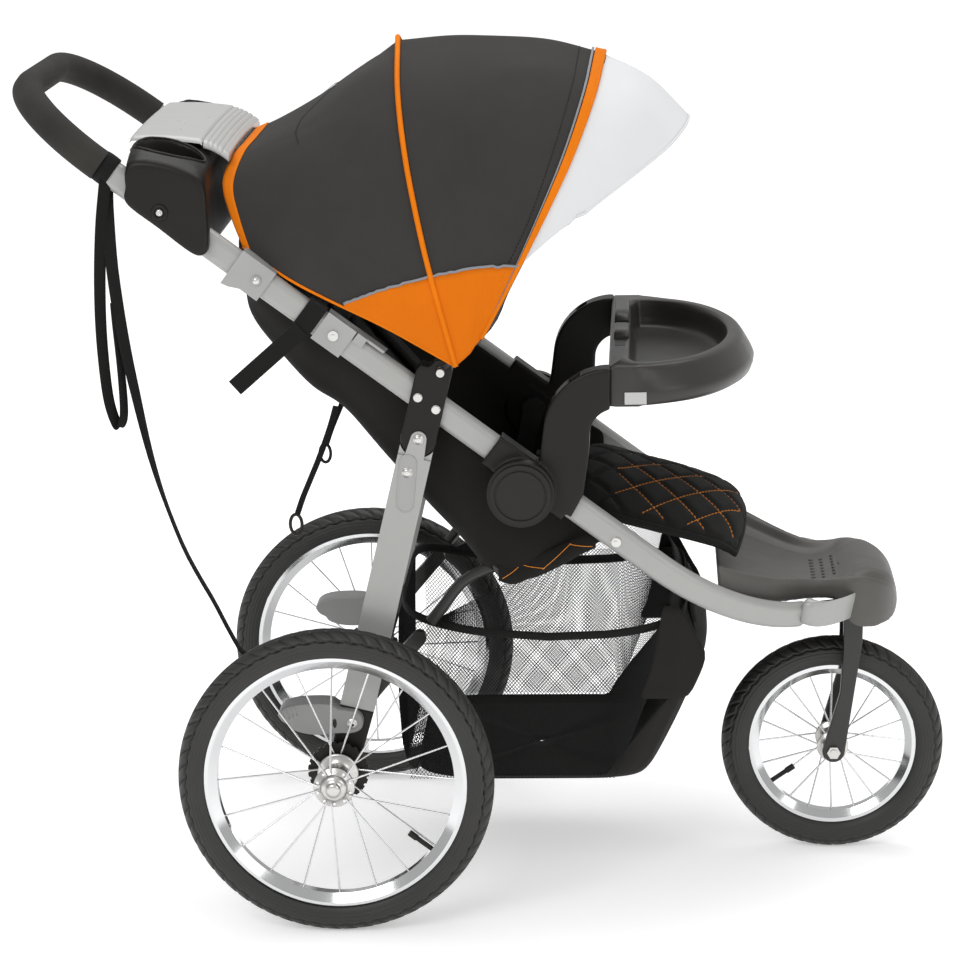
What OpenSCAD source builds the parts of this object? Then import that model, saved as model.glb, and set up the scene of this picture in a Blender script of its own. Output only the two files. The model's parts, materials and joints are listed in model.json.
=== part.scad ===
// Three-wheel jogging stroller with a folding side frame, spoked wheels,
// a swivelling front fork, a hooded seat, a child tray and a parent console.
// X points forwards, Y to the stroller's left, Z up from the ground.
// The origin is on the ground, under the middle of the length.
// Side parts are drawn for the right side (-Y) and mirrored for the left.

/* [Wheels] */
// Outer radius of the rear tyres
rear_r = 200; // [195:1:204]
// Outer radius of the front tyre
front_r = 148; // [142:1:150]
// Distance from the rear axle to the front axle
wheelbase = 639; // [636:1:645]
// Distance from the middle plane to a rear wheel's plane
half_track = 285; // [284:1:290]
// Spokes in each wheel
spoke_count = 20; // [12:2:28]

/* [Frame] */
// Slope of the side tubes below the horizontal, in degrees
tube_slope = 37.3; // [37:0.1:37.6]
// Height of the flat-oval side tube
tube_h = 35; // [33:1:35]
// Thickness of the flat-oval side tube
tube_t = 20; // [18:1:20]
// Wall of the tubes
tube_wall = 2; // [1.5:0.5:3]
// Distance from the middle plane to the side tubes
tube_y = 219; // [219:1:220]
// Lean of the rear legs from the vertical, in degrees
leg_lean = 14.1; // [14:0.1:14.2]

/* [Handle] */
// Distance along the tube from the fold pivot to the cross bar
handle_reach = 488; // [480:1:495]
// Corner radius of the handle loop
handle_corner = 135; // [100:5:140]

/* [Canopy and seat] */
// Thickness of the canopy and visor cloth
cloth = 3; // [2:0.5:4]
// Half width of the seat shell
seat_y = 176; // [170:1:176]

/* [Tray] */
// Half width of the child tray
tray_y = 228; // [224:1:230]
// Height of the tray's rim above the ground
tray_top = 716; // [714:1:718]

/* [Hidden] */

// The rear axle lies this far behind the middle of the length.
axle_back = 195;
gap = 0.3;

// Pivots in the side view, as [x from the rear axle, z]
fold_pivot = [11, 761];
leg_pivot = [113, 630];
hub_centre = [239, 563];
canopy_pivot = [143, 716];
brace_top = [214, 456];
brace_knee = [103, 357];
brace_foot = [40, 285];
pedal_pivot = [19, 262];
backrest_pivot = [190, 500];
steer_x = 665;

function unit(v) = v / norm(v);
function along(i) = [cos(tube_slope) * i, 0, -sin(tube_slope) * i];
function arc_points(c, r, from, to, n) =
    [for (i = [0:n]) let (a = from + (to - from) * i / n) [c[0] + r * cos(a), c[1] + r * sin(a)]];

// Moves a part drawn from the rear axle into the stroller's own frame.
module from_axle() translate([-axle_back, 0, 0]) children();

// Draws a right-hand part, or its mirror image on the left.
module on_side(left) {
    if (left) mirror([0, 1, 0]) children();
    else children();
}

module both_sides() {
    children();
    mirror([0, 1, 0]) children();
}

// X runs down the side tube from the fold pivot, Z is its upper normal.
module on_tube(s = 0) {
    translate([fold_pivot[0], 0, fold_pivot[1]]) rotate([0, tube_slope, 0])
        translate([s, 0, 0]) children();
}

// Extrudes a side-view outline between two distances from the middle plane.
module plate(y0, y1) {
    translate([0, -y0, 0]) rotate([90, 0, 0]) linear_extrude(y1 - y0) children();
}

// A round bar across the stroller at a side-view point.
module cross_bar(p, y0, y1, r) {
    translate([p[0], y0, p[1]]) rotate([-90, 0, 0]) cylinder(r = r, h = y1 - y0, $fn = 48);
}

// A round bar between two points in space.
module rod(p, q, r) {
    d = q - p;
    translate(p) rotate([0, acos(d[2] / norm(d)), atan2(d[1], d[0])])
        cylinder(r = r, h = norm(d), $fn = 24);
}

// Section of a flat-oval tube, height along Y.
module oval(h, t) {
    translate([-t / 2, -(h - t) / 2]) square([t, h - t]);
    for (e = [-1, 1]) translate([0, e * (h - t) / 2]) circle(d = t, $fn = 48);
}

module tube_section() {
    difference() {
        oval(tube_h, tube_t);
        oval(tube_h - 2 * tube_wall, tube_t - 2 * tube_wall);
    }
}

// ---- Swept tubes ----

// The m corners of a ring round p, facing along d; flat fixes its turn.
function ring_points(p, d, flat, r, m) =
    let (side = unit(flat - (flat * d) * d), up = cross(side, d))
    [for (k = [0:m - 1]) p + r * (cos(360 * k / m) * side + sin(360 * k / m) * up)];

// One closed tube with m sides, swept along a route of points.
module swept_tube(route, flat, r, m = 8) {
    n = len(route);
    function dir(i) = unit(route[min(i + 1, n - 1)] - route[max(i - 1, 0)]);
    points = [for (i = [0:n - 1]) each ring_points(route[i], dir(i), flat, r, m)];
    walls = [for (i = [0:n - 2]) for (k = [0:m - 1])
        [i * m + k, i * m + (k + 1) % m, (i + 1) * m + (k + 1) % m, (i + 1) * m + k]];
    first = [for (k = [m - 1:-1:0]) k];
    last = [for (k = [0:m - 1]) (n - 1) * m + k];
    polyhedron(points = points, faces = concat(walls, [first, last]), convexity = 4);
}

// ---- Side frame ----

// The side tube runs straight, bends inwards once and runs on to the nose.
bend_corner = 620;
bend_r = 260;
tube_start = 18.5;
lug_depth = 12;
lug_reach = 82;
plan_turn = 45;
nose_drop = 8;
lead_in = along(1);
lead_out = [cos(nose_drop) * cos(plan_turn), cos(nose_drop) * sin(plan_turn), -sin(nose_drop)];
bend_angle = acos(lead_in * lead_out);
bend_tangent = bend_r * tan(bend_angle / 2);
bend_n = unit(lead_out - (lead_in * lead_out) * lead_in);
bend_axis = cross(-bend_n, lead_in);
bend_start = [fold_pivot[0], -tube_y, fold_pivot[1]] + (bend_corner - bend_tangent) * lead_in;
bend_centre = bend_start + bend_r * bend_n;

module bend_frame() {
    m = [for (i = [0:2]) [-bend_n[i], lead_in[i], bend_axis[i], bend_centre[i]]];
    multmatrix([m[0], m[1], m[2], [0, 0, 0, 1]]) children();
}

// Section of the side tube, turned so that its flat faces stand upright.
module bend_section(h, t, wall) {
    turn = atan2(bend_axis[1], -bend_n[1]);
    rotate(turn) difference() {
        oval(h, t);
        if (wall > 0) oval(h - 2 * wall, t - 2 * wall);
    }
}

module side_tube(left) {
    straight = bend_corner - bend_tangent - tube_start;
    from_axle() on_side(left) color("silver") bend_frame() {
        translate([bend_r, 0, 0]) rotate([90, 0, 0]) linear_extrude(straight) bend_section(tube_h, tube_t, tube_wall);
        rotate_extrude(angle = bend_angle, $fn = 180) translate([bend_r, 0]) bend_section(tube_h, tube_t, tube_wall);
    }
}

// Plates that hold the handle's ends, longer on the hidden inner side.
module hinge_brackets() {
    face = tube_y + tube_t / 2 + gap;
    back = tube_y - tube_t / 2 - gap;
    from_axle() color("darkgray") both_sides() on_tube() {
        difference() {
            union() {
                translate([-21, -face - 3, -19]) cube([42, 3, 40]);
                translate([-21, -back, -19]) cube([86, 3, 40]);
                translate([23, -face - 0.05, 17.6]) cube([40, face - back + 0.1, 3.4]);
            }
            rotate([90, 0, 0]) translate([0, 0, tube_y - 30]) cylinder(r = 5.02, h = 60, $fn = 48);
        }
        translate([23, -face - 3, 8]) cube([14, 3, 13]);
    }
}

module leg_bracket_outline() {
    circle(r = 23, $fn = 64);
    polygon([[-22, 0], [22, 0], [22, 92], [-18, 92], [-22, 84]]);
    translate([8, 90]) circle(r = 14, $fn = 48);
}

// Black moulding that clamps the side tube and carries the leg and the canopy.
module leg_bracket(left) {
    from_axle() on_side(left) color("#3b3a38") difference() {
        translate([leg_pivot[0], 0, leg_pivot[1]]) rotate([0, leg_lean, 0])
            plate(204, 236) leg_bracket_outline();
        on_tube(60) translate([0, -tube_y, 0]) rotate([90, 0, 90])
            linear_extrude(140) oval(tube_h + 2 * gap, tube_t + 2 * gap);
        cross_bar(leg_pivot, -250, -190, 5);
        cross_bar(canopy_pivot, -250, -190, 5.02);
    }
}

arm_sleeve = [241, 364];
module arm_outline() {
    polygon(concat(
        arc_points([351, 632], 84, 90, 170, 12),
        [[262, 600], [256, 560], [300, 527], [316, 556], [324, 612]],
        arc_points([357, 633], 32, 178, 102, 8)
    ));
}

// One moulding: sleeve round the side tube, hub housing and tray arm.
module arm(left) {
    from_axle() on_side(left) color("#3b3a38") difference() {
        union() {
            plate(206, 237) arm_outline();
            plate(206, 243) translate(hub_centre) circle(r = 40, $fn = 96);
            on_tube(arm_sleeve[0]) translate([0, -237, -21]) cube([arm_sleeve[1] - arm_sleeve[0], 31, 42]);
        }
        on_tube(200) translate([0, -tube_y, 0]) rotate([90, 0, 90])
            linear_extrude(220) oval(tube_h + 2 * gap, tube_t + 2 * gap);
        translate([300, -231, 674]) cube([60, 20, 32]);
        cross_bar(hub_centre, -250, -240, 12);
    }
}

// Domed covers over the two hubs, with a plain recessed ring.
module hub_caps() {
    from_axle() color("#2f2e2d") both_sides() difference() {
        union() {
            plate(243.2, 258) translate(hub_centre) circle(r = 42, $fn = 96);
            plate(258, 262) translate(hub_centre) circle(r = 38, $fn = 96);
            plate(240.2, 243.2) translate(hub_centre) circle(r = 11.5, $fn = 48);
        }
        plate(260, 263) translate(hub_centre) difference() {
            circle(r = 33, $fn = 96);
            circle(r = 30, $fn = 96);
        }
    }
}

// Cross tube under the seat's front edge, hung from the hubs by two flats.
module seat_bar() {
    from_axle() color("#2f2e2d") {
        cross_bar(brace_top, -205, 205, 8);
        both_sides() plate(200, 205.5) {
            translate(brace_top) circle(r = 14, $fn = 48);
            translate(hub_centre) circle(r = 16, $fn = 48);
            polygon([brace_top + [-12, 0], brace_top + [12, 0], hub_centre + [14, 0], hub_centre + [-14, 0]]);
        }
    }
}

// Rivet and bolt heads on the frame, with the two fold pins.
module frame_rivets() {
    from_axle() color("gainsboro") both_sides() {
        cross_bar(fold_pivot, -tube_y - 15, -tube_y + 15, 5);
        for (e = [-1, 1]) translate([fold_pivot[0], -tube_y + e * 14.6, fold_pivot[1]])
            rotate([-90, 0, 0]) cylinder(r = 6.5, h = 2.4, center = true, $fn = 48);
        for (p = [[113.5, 682.5], [135.5, 667]]) cross_bar(p, -239, -236, 5);
        cross_bar(canopy_pivot, -251, -206, 5);
        cross_bar([356, 493], -231.5, -229, 6);
    }
}

// Steering tube on a cross block whose two arms plug into the side tubes.
module head_tube() {
    from_axle() color("#2f2e2d") difference() {
        union() {
            translate([steer_x, 0, 354]) cylinder(r = 20, h = 44, $fn = 64);
            translate([640, -80, 352.5]) cube([44, 160, 20.5]);
            both_sides() bend_frame() rotate([0, 0, bend_angle]) translate([bend_r, lug_reach, 0])
                rotate([90, 0, 0]) linear_extrude(lug_reach + lug_depth)
                    bend_section(tube_h - 2 * tube_wall - 2 * gap, tube_t - 2 * tube_wall - 2 * gap, 0);
        }
        translate([steer_x, 0, 300]) cylinder(r = 14.06, h = 120, $fn = 64);
    }
}

cover_wall = 4;
module cover_plan(inset) {
    k = inset;
    polygon(concat(
        [[482 + k, -190 + k], [545, -153 + k], [598, -104 + k], [622, -88 + k]],
        [[650, -90 + k], [690, -76 + k]],
        arc_points([665, 0], 57 - k, -52, 52, 14),
        [[690, 76 - k], [650, 90 - k], [622, 88 - k], [598, 104 - k], [545, 153 - k], [482 + k, 190 - k]]
    ));
}

// Footrest pan and nose in one moulding, open underneath.
module front_cover() {
    floor_line = [[470, 424], [560, 394], [615, 392], [660, 409], [690, 409]];
    down = [for (i = [4:-1:0]) floor_line[i] - [0, cover_wall]];
    vent_x = [615, 628, 641, 654];
    from_axle() color("#45433f") difference() {
        union() {
            intersection() {
                translate([0, 0, 338]) linear_extrude(140) cover_plan(0);
                plate(-200, 200) polygon(concat(floor_line, down));
            }
            intersection() {
                translate([0, 0, 338]) linear_extrude(140) difference() {
                    cover_plan(0);
                    cover_plan(cover_wall);
                }
                plate(-200, 200) polygon([
                    [470, 416], [560, 388], [648, 384], [660, 338], [740, 338],
                    [740, 385], [712, 404], [690, 413], [600, 408], [545, 420], [470, 458]
                ]);
            }
            translate([0, 0, 338]) intersection() {
                linear_extrude(75) cover_plan(0);
                difference() {
                    translate([662, -100, 0]) cube([80, 200, 75]);
                    translate([640, -84, -1]) cube([66, 168, 70]);
                    translate([steer_x, 0, -1]) cylinder(r = 52, h = 70, $fn = 64);
                }
            }
        }
        for (i = [0:3]) for (j = [-3 + i / 2:3 - i / 2])
            translate([vent_x[i], j * 15, 370]) cylinder(d = 6, h = 50, $fn = 24);
        translate([639.5, -80.5, 352]) cube([45, 161, 21.5]);
        both_sides() bend_frame() rotate([0, 0, bend_angle]) translate([bend_r, lug_reach + 1, 0])
            rotate([90, 0, 0]) linear_extrude(lug_reach) bend_section(tube_h + 0.6, tube_t + 0.6, 0);
    }
}

// ---- Seat and storage ----

seat_outline = [
    [-107, 811], [-100, 775], [-71, 734], [-25, 683], [15, 655], [61, 600],
    [112, 537], [160, 492], [200, 472], [290, 476], [340, 487], [374, 500],
    [374, 516], [300, 572], [0, 800], [-107, 884]
];

// Sling of the seat: two side panels and a curved back and floor.
module seat_tub() {
    from_axle() color("#23211f") difference() {
        plate(-seat_y, seat_y) polygon(seat_outline);
        plate(-seat_y + 6, seat_y - 6) polygon([for (p = seat_outline) p + [4, p[1] > 510 && p[0] > -90 && p[0] < 100 ? 8 : 7]]);
        plate(-seat_y + 6, seat_y - 6) polygon([[-103, 820], [-103, 960], [500, 600], [500, 509], [372, 509]]);
    }
}

// Quilted pad over the seat floor and down the calf support.
module seat_pad() {
    from_axle() color("#2b2927") {
        plate(-160, 160) polygon([
            [232, 500], [330, 512], [376, 512], [430, 490], [503, 458], [522, 450],
            [527, 470], [505, 489], [464, 508], [420, 521], [375, 533], [330, 541], [232, 524]
        ]);
    }
}

// Open-topped cloth bag under the seat.
module basket() {
    bag = [[72, 372], [68, 200], [80, 168], [195, 152], [394, 152], [474, 325], [430, 392], [352, 450], [286, 440], [150, 392]];
    bag_y = 174;
    from_axle() color("#2b2927") difference() {
        plate(-bag_y, bag_y) polygon(bag);
        plate(-bag_y + 4, bag_y - 4) polygon([
            [76, 420], [72, 201], [83, 172], [195, 156], [391, 156], [469, 325], [427, 390], [400, 420], [286, 520]
        ]);
    }
}

// Five-point harness buckle with its crotch and waist webbing.
module harness() {
    from_axle() color("#1f1e1d") {
        translate([282, -20, 548]) cube([34, 40, 12]);
        translate([250, -12, 548]) cube([32, 24, 4]);
        for (e = [-1, 1]) translate([290, e * 85 - 65, 549]) cube([20, 130, 4]);
    }
}

// Padded back panel, hinged at the seat's rear edge.
module backrest() {
    lean = 130;
    from_axle() color("#2b2927") translate([backrest_pivot[0], 0, backrest_pivot[1]])
        rotate([0, -lean, 0]) translate([4, -150, -14]) cube([396, 300, 28]);
}

// ---- Handle and console ----

module loop_sweep(y, reach, corner, start) {
    both_sides() {
        translate([-reach + corner, -y, 0]) rotate([90, 0, 90])
            linear_extrude(reach - corner + start) children();
        translate([-reach + corner, -y + corner, 0]) rotate([0, 0, 180]) rotate_extrude(angle = 90, $fn = 120)
            translate([corner, 0]) children();
        translate([-reach, 0.001, 0]) rotate([90, 0, 0]) linear_extrude(y - corner + 0.001) children();
    }
}

// Bent tube from one fold pivot round to the other, its ends rounded.
module handle_tube() {
    from_axle() color("silver") on_tube() difference() {
        union() {
            loop_sweep(tube_y, handle_reach, handle_corner, 0) tube_section();
            both_sides() translate([0, -tube_y, 0]) rotate([90, 0, 0])
                cylinder(r = tube_h / 2, h = tube_t - 0.4, center = true, $fn = 64);
        }
        translate([0, -300, 0]) rotate([-90, 0, 0]) cylinder(r = 5.05, h = 600, $fn = 48);
    }
}

// Foam sleeve over the loop.
module handle_grip() {
    from_axle() color("#2a2928") on_tube() loop_sweep(tube_y, handle_reach, handle_corner, -352) difference() {
        oval(40, 34);
        oval(tube_h + 0.4, tube_t + 0.4);
    }
}

cup_x = -189;
cup_y = 186;
module console_side() {
    polygon([[-236, 929], [-158, 867], [-143, 866], [-137, 876], [-138, 966], [-146, 982], [-170, 990],
        [-214, 992], [-232, 986], [-236, 976]]);
}

// Parent console: two cup wells and a lidded bin across the handle.
module console() {
    from_axle() color("#3b3a38") difference() {
        union() {
            plate(-243, 243) console_side();
            both_sides() cross_bar([-195, 919], -246, -242, 6);
        }
        on_tube(-340) both_sides() translate([0, -tube_y, 0]) rotate([90, 0, 90])
            linear_extrude(200) oval(tube_h + 2 * gap, tube_t + 2 * gap);
        both_sides() translate([-150, -208, 860]) cube([20, 0.01, 0.01]);
        for (e = [-1, 1]) translate([cup_x, e * 162, 925]) cylinder(r = 36, h = 90, $fn = 96);
        translate([-228, -112, 925]) cube([80, 224, 90]);
        plate(-124, 124) polygon([[-240, 984], [-240, 1000], [-138, 1000], [-138, 980]]);
        plate(-196, 196) polygon([[-240, 840], [-240, 915], [-130, 915], [-130, 840]]);
    }
}

// Domed lid over the middle bin, hinged at its front edge.
module console_lid() {
    from_axle() color("lightgray") plate(-122, 122)
        polygon([[-238, 988], [-150, 985], [-150, 999], [-165, 1005], [-190, 1008], [-215, 1007], [-238, 1000]]);
}

// Spring-return sleeve with a finger hook; it slides up to free the fold.
module fold_latch(left) {
    from_axle() on_side(left) color("darkgray") on_tube() {
        difference() {
            translate([-150, -tube_y - 13.2, -21]) cube([49, 26.4, 42]);
            translate([-160, -tube_y, 0]) rotate([90, 0, 90])
                linear_extrude(70) oval(tube_h + 2 * gap, tube_t + 2 * gap);
        }
        translate([0, -tube_y - 10.2, 0]) plate(0, 3) polygon([[-150, -20.5], [-150, -29], [-140, -27], [-126, -20.5]]);
        translate([-116, -tube_y - 13.2, 0]) rotate([90, 0, 0]) cylinder(r = 6, h = 2, $fn = 48);
    }
}

// Hook-and-loop strap that keeps the frame folded.
module storage_strap() {
    from_axle() color("#1f1e1d") on_tube() {
        difference() {
            translate([-49, -tube_y - 12.4, -20]) cube([25, 24.8, 40]);
            translate([-60, -tube_y, 0]) rotate([90, 0, 90]) linear_extrude(60) oval(tube_h + 0.6, tube_t + 0.6);
        }
        translate([-37, -tube_y - 12.4, -19]) rotate([0, 12, 0]) translate([-11, -2.6, -110]) cube([22, 3, 112]);
    }
}

// ---- Rear legs ----

module on_leg() {
    translate([leg_pivot[0], 0, leg_pivot[1]]) rotate([0, leg_lean, 0]) children();
}

leg_len = 361;
leg_y0 = 213;
leg_y1 = 239;
leg_wall = 2.4;

// Box-section leg with two tongues that straddle the bracket.
module rear_leg(left) {
    from_axle() on_side(left) color("silver") on_leg() difference() {
        union() {
            plate(leg_y0, leg_y1) polygon([[-21, -10], [21, -10], [22, -leg_len], [-22, -leg_len]]);
            plate(leg_y1 - 2.6, leg_y1) {
                circle(r = 10, $fn = 48);
                polygon([[-10, 0], [10, 0], [14, -40], [-14, -40]]);
            }
        }
        plate(leg_y0 - 1, leg_y1 - 2.7) circle(r = 24.2, $fn = 96);
        plate(leg_y1 - 2.8, leg_y1 + 1) difference() {
            translate([-30, -24.2]) square([60, 60]);
            circle(r = 10, $fn = 48);
            polygon([[-10, 0], [10, 0], [14, -40], [-14, -40]]);
        }
        plate(leg_y0 + leg_wall, leg_y1 - leg_wall) polygon([[-18.6, -30], [18.6, -30], [19.5, -400], [-19.5, -400]]);
        rotate([90, 0, 0]) cylinder(r = 4.95, h = 300, $fn = 48);
    }
}

// Outline of the lug under a leg, with the axle's bore.
module axle_lug_outline() {
    difference() {
        union() {
            translate(leg_pivot) rotate(-leg_lean)
                polygon([[-22, -leg_len - 0.3], [22, -leg_len - 0.3], [19, -430], [-20, -430]]);
            translate([0, rear_r]) circle(r = 22, $fn = 64);
        }
        translate([0, rear_r]) circle(r = 6.1, $fn = 48);
    }
}

// Lower ends of the legs: axle lugs, pedal pins, brace pins and leg pins.
module axle_brackets() {
    from_axle() color("#2f2e2d") both_sides() {
        plate(leg_y0, leg_y1) axle_lug_outline();
        on_leg() plate(leg_y0 + leg_wall + gap, leg_y1 - leg_wall - gap)
            polygon([[-17, -leg_len + 40], [17, -leg_len + 40], [17, -leg_len - 8], [-17, -leg_len - 8]]);
        cross_bar(pedal_pivot, -252, -leg_y1 + 6, 4);
        cross_bar(leg_pivot, -leg_y1 - 2.5, -leg_y0 + 6, 4.95);
        cross_bar(brace_foot, -leg_y0, -178, 4);
    }
}

// Cross axle with a reduced stub for each wheel.
module rear_axle() {
    from_axle() color("gray") {
        cross_bar([0, rear_r], -212.6, 212.6, 11);
        both_sides() cross_bar([0, rear_r], -half_track - 30, -212, 6);
    }
}

// Foot pedal with a ribbed tread behind the leg.
module brake_pedal(left) {
    from_axle() on_side(left) color("gray") difference() {
        union() {
            plate(241, 249) {
                translate(pedal_pivot) circle(r = 15, $fn = 48);
                polygon([[-66, 250], [19, 247], [19, 277], [8, 288], [-60, 286], [-74, 272]]);
            }
            plate(212, 249) polygon([[-66, 252], [-42, 252], [-42, 285], [-60, 286], [-74, 272]]);
        }
        cross_bar(pedal_pivot, -260, -200, 4.05);
        plate(240, 250) translate([-6, 266]) circle(r = 5, $fn = 32);
    }
}

// ---- Folding braces ----

brace_y0 = 180;
brace_y1 = 196;
brace_route = [[209, 454], [190, 447], [172, 439], [158, 429], [147, 416], [137, 402], [118, 378]];
module upper_braces() {
    mid = (brace_y0 + brace_y1) / 2;
    from_axle() color("#2a2928") both_sides() difference() {
        union() {
            plate(brace_y0, brace_y1) translate(brace_top) circle(r = 13, $fn = 48);
            swept_tube([for (p = brace_route) [p[0], -mid, p[1]]], [0, 1, 0], 7.5, 12);
        }
        cross_bar(brace_top, -220, -170, 8.06);
    }
}

module lower_braces() {
    from_axle() color("#2a2928") both_sides() difference() {
        plate(brace_y0, brace_y1 - 4) {
            translate(brace_foot) circle(r = 11, $fn = 48);
            translate(brace_knee) circle(r = 9, $fn = 48);
            polygon([brace_foot + [-8, 7], brace_foot + [8, -7], brace_knee + [7, -6], brace_knee + [-7, 6]]);
        }
        cross_bar(brace_foot, -220, -170, 4.06);
    }
}

// ---- Wheels ----
// Each wheel is drawn round its own centre with the axle along Y.

// An open C section whose two beads sit on the rim.
module tyre(r, rim_r, w) {
    rotate([90, 0, 0]) rotate_extrude($fn = 144) difference() {
        union() {
            translate([r - w, 0]) circle(r = w, $fn = 48);
            translate([rim_r, -w + 3]) square([r - w - rim_r, 2 * w - 6]);
        }
        translate([r - w, 0]) circle(r = w - 5, $fn = 48);
        translate([rim_r - 30, -w + 8]) square([r - w - rim_r + 30, 2 * w - 16]);
        translate([rim_r - 30, -w - 1]) square([30 + gap, 2 * w + 2]);
    }
}

module rim(rim_r, depth) {
    rotate([90, 0, 0]) rotate_extrude($fn = 144) polygon([
        [rim_r - depth, -6], [rim_r - 5, -13], [rim_r, -13], [rim_r, -10.5], [rim_r - 5, -10],
        [rim_r - 7, -6], [rim_r - 7, 6], [rim_r - 5, 10], [rim_r, 10.5], [rim_r, 13], [rim_r - 5, 13], [rim_r - depth, 6]
    ]);
}

module spokes(inner_r, flange_r, flange_y) {
    step = 360 / spoke_count;
    for (i = [0:spoke_count - 1]) {
        side = i % 2 == 0 ? 1 : -1;
        sweep = i % 4 < 2 ? 10 : -10;
        a = i * step;
        rod([flange_r * cos(a + sweep), side * flange_y, flange_r * sin(a + sweep)],
            [inner_r * cos(a), side * 2, inner_r * sin(a)], 1.2);
    }
}

module wheel_hub(flange_r, flange_y, half, bore_r, closed) {
    difference() {
        rotate([90, 0, 0]) union() {
            cylinder(r = 11, h = 2 * half, center = true, $fn = 64);
            for (e = [-1, 1]) translate([0, 0, e * flange_y]) cylinder(r = flange_r, h = 3, center = true, $fn = 96);
            for (e = [-1, 1]) translate([0, 0, e * (flange_y - 5)]) cylinder(r = 16, h = 8, center = true, $fn = 64);
            if (closed) translate([0, 0, half - 7]) cylinder(r = 16, h = 10, $fn = 64);
        }
        rotate([90, 0, 0]) translate([0, 0, -half - 1])
            cylinder(r = bore_r, h = closed ? 2 * half - 2 : 2 * half + 2, $fn = 48);
    }
}

module brake_disc() {
    rotate([90, 0, 0]) difference() {
        cylinder(r = 39, h = 4, $fn = 96);
        translate([0, 0, -1]) cylinder(r = 11.1, h = 6, $fn = 64);
        for (i = [0:23]) rotate([0, 0, i * 15]) translate([39, 0, -1]) cylinder(r = 2.6, h = 6, $fn = 24);
    }
}

module at_rear_wheel(left) {
    from_axle() on_side(left) translate([0, -half_track, rear_r]) children();
}

module at_front_wheel() from_axle() translate([wheelbase, 0, front_r]) children();

rear_rim_r = 166;
front_rim_r = 111;
module rear_tyre(left) at_rear_wheel(left) color("#3d3d3c") tyre(rear_r, rear_rim_r, 21);
module rear_rim(left) at_rear_wheel(left) color("silver") rim(rear_rim_r, 16);
module rear_spokes(left) at_rear_wheel(left) color("silver") spokes(rear_rim_r - 14, 21, 30);
module rear_hub(left) at_rear_wheel(left) color("silver") wheel_hub(25, 30, 34, 6.05, true);
module rear_disc(left) at_rear_wheel(left) color("#2f2e2d") translate([0, 30, 0]) translate([0, 6.8, 0]) brake_disc();
module front_tyre() at_front_wheel() color("#3d3d3c") tyre(front_r, front_rim_r, 21);
module front_rim() at_front_wheel() color("silver") rim(front_rim_r, 14);
module front_spokes() at_front_wheel() color("silver") spokes(front_rim_r - 12, 19, 22);
module front_hub() at_front_wheel() color("silver") wheel_hub(23, 22, 34, 5.05, false);

// ---- Front fork ----

module fork_blade() {
    polygon(concat(
        [[651, 342], [677, 342], [676, 300], [660, 190]],
        arc_points([wheelbase, front_r], 15, 0, -180, 10),
        [[632, 178], [647, 230], [651, 290]]
    ));
}

module fork() {
    from_axle() color("#2a2928") difference() {
        union() {
            both_sides() plate(36, 45) fork_blade();
            translate([651, -45, 340]) cube([26, 90, 12]);
            translate([steer_x, 0, 345]) cylinder(r = 14, h = 50, $fn = 64);
            translate([676, -9, 314]) cube([20, 18, 26]);
            translate([660, -9, 332]) cube([20, 18, 10]);
        }
        cross_bar([wheelbase, front_r], -60, 60, 5.1);
        cross_bar([690, 320], -20, 20, 2.55);
        translate([682, -4.3, 310]) cube([20, 8.6, 24]);
    }
}

// Front axle with its hex nuts.
module front_axle() {
    from_axle() color("gainsboro") {
        cross_bar([wheelbase, front_r], -52, 52, 5);
        both_sides() translate([wheelbase, -45, front_r]) rotate([90, 0, 0]) cylinder(r = 9, h = 5, $fn = 6);
    }
}

// Small red lever that pins the fork straight.
module swivel_lock() {
    from_axle() color("red") {
        cross_bar([690, 320], -8.9, 8.9, 2.5);
        plate(-4, 4) polygon([[686, 316], [694, 316], [700, 327], [716, 329], [716, 334], [697, 332], [686, 324]]);
    }
}

// ---- Canopy ----

// A rib is [base x, base z, apex x, apex z, half width].
mid_rib = [148, 746, 81, 1100, 240];
front_rib = [189, 765, 346, 1077, 238];
rear_ribs = [
    [-104, 872, -112, 972, 200],
    [-40, 842, -55, 1010, 218],
    [25, 802, 5, 1046, 231],
    [92, 767, 45, 1078, 237]
];
front_ribs = [
    [163, 754, 170, 1106, 240],
    [176, 760, 262, 1100, 239]
];
visor_ribs = [
    [262, 862, 352, 1075, 212],
    [275, 872, 405, 1040, 190],
    [292, 885, 450, 996, 160]
];

rib_steps = 20;
roundness = 2.7;
function signed_power(v, e) = sign(v) * pow(abs(v), e);
function rib_point(rib, i, inset) =
    let (a = 180 * i / rib_steps, e = 2 / roundness)
    let (h = signed_power(sin(a), e), rise = 1 - inset / norm([rib[2] - rib[0], rib[3] - rib[1]]))
    [rib[0] + (rib[2] - rib[0]) * h * rise, -(rib[4] - inset) * signed_power(cos(a), e), rib[1] + (rib[3] - rib[1]) * h * rise];

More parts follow.
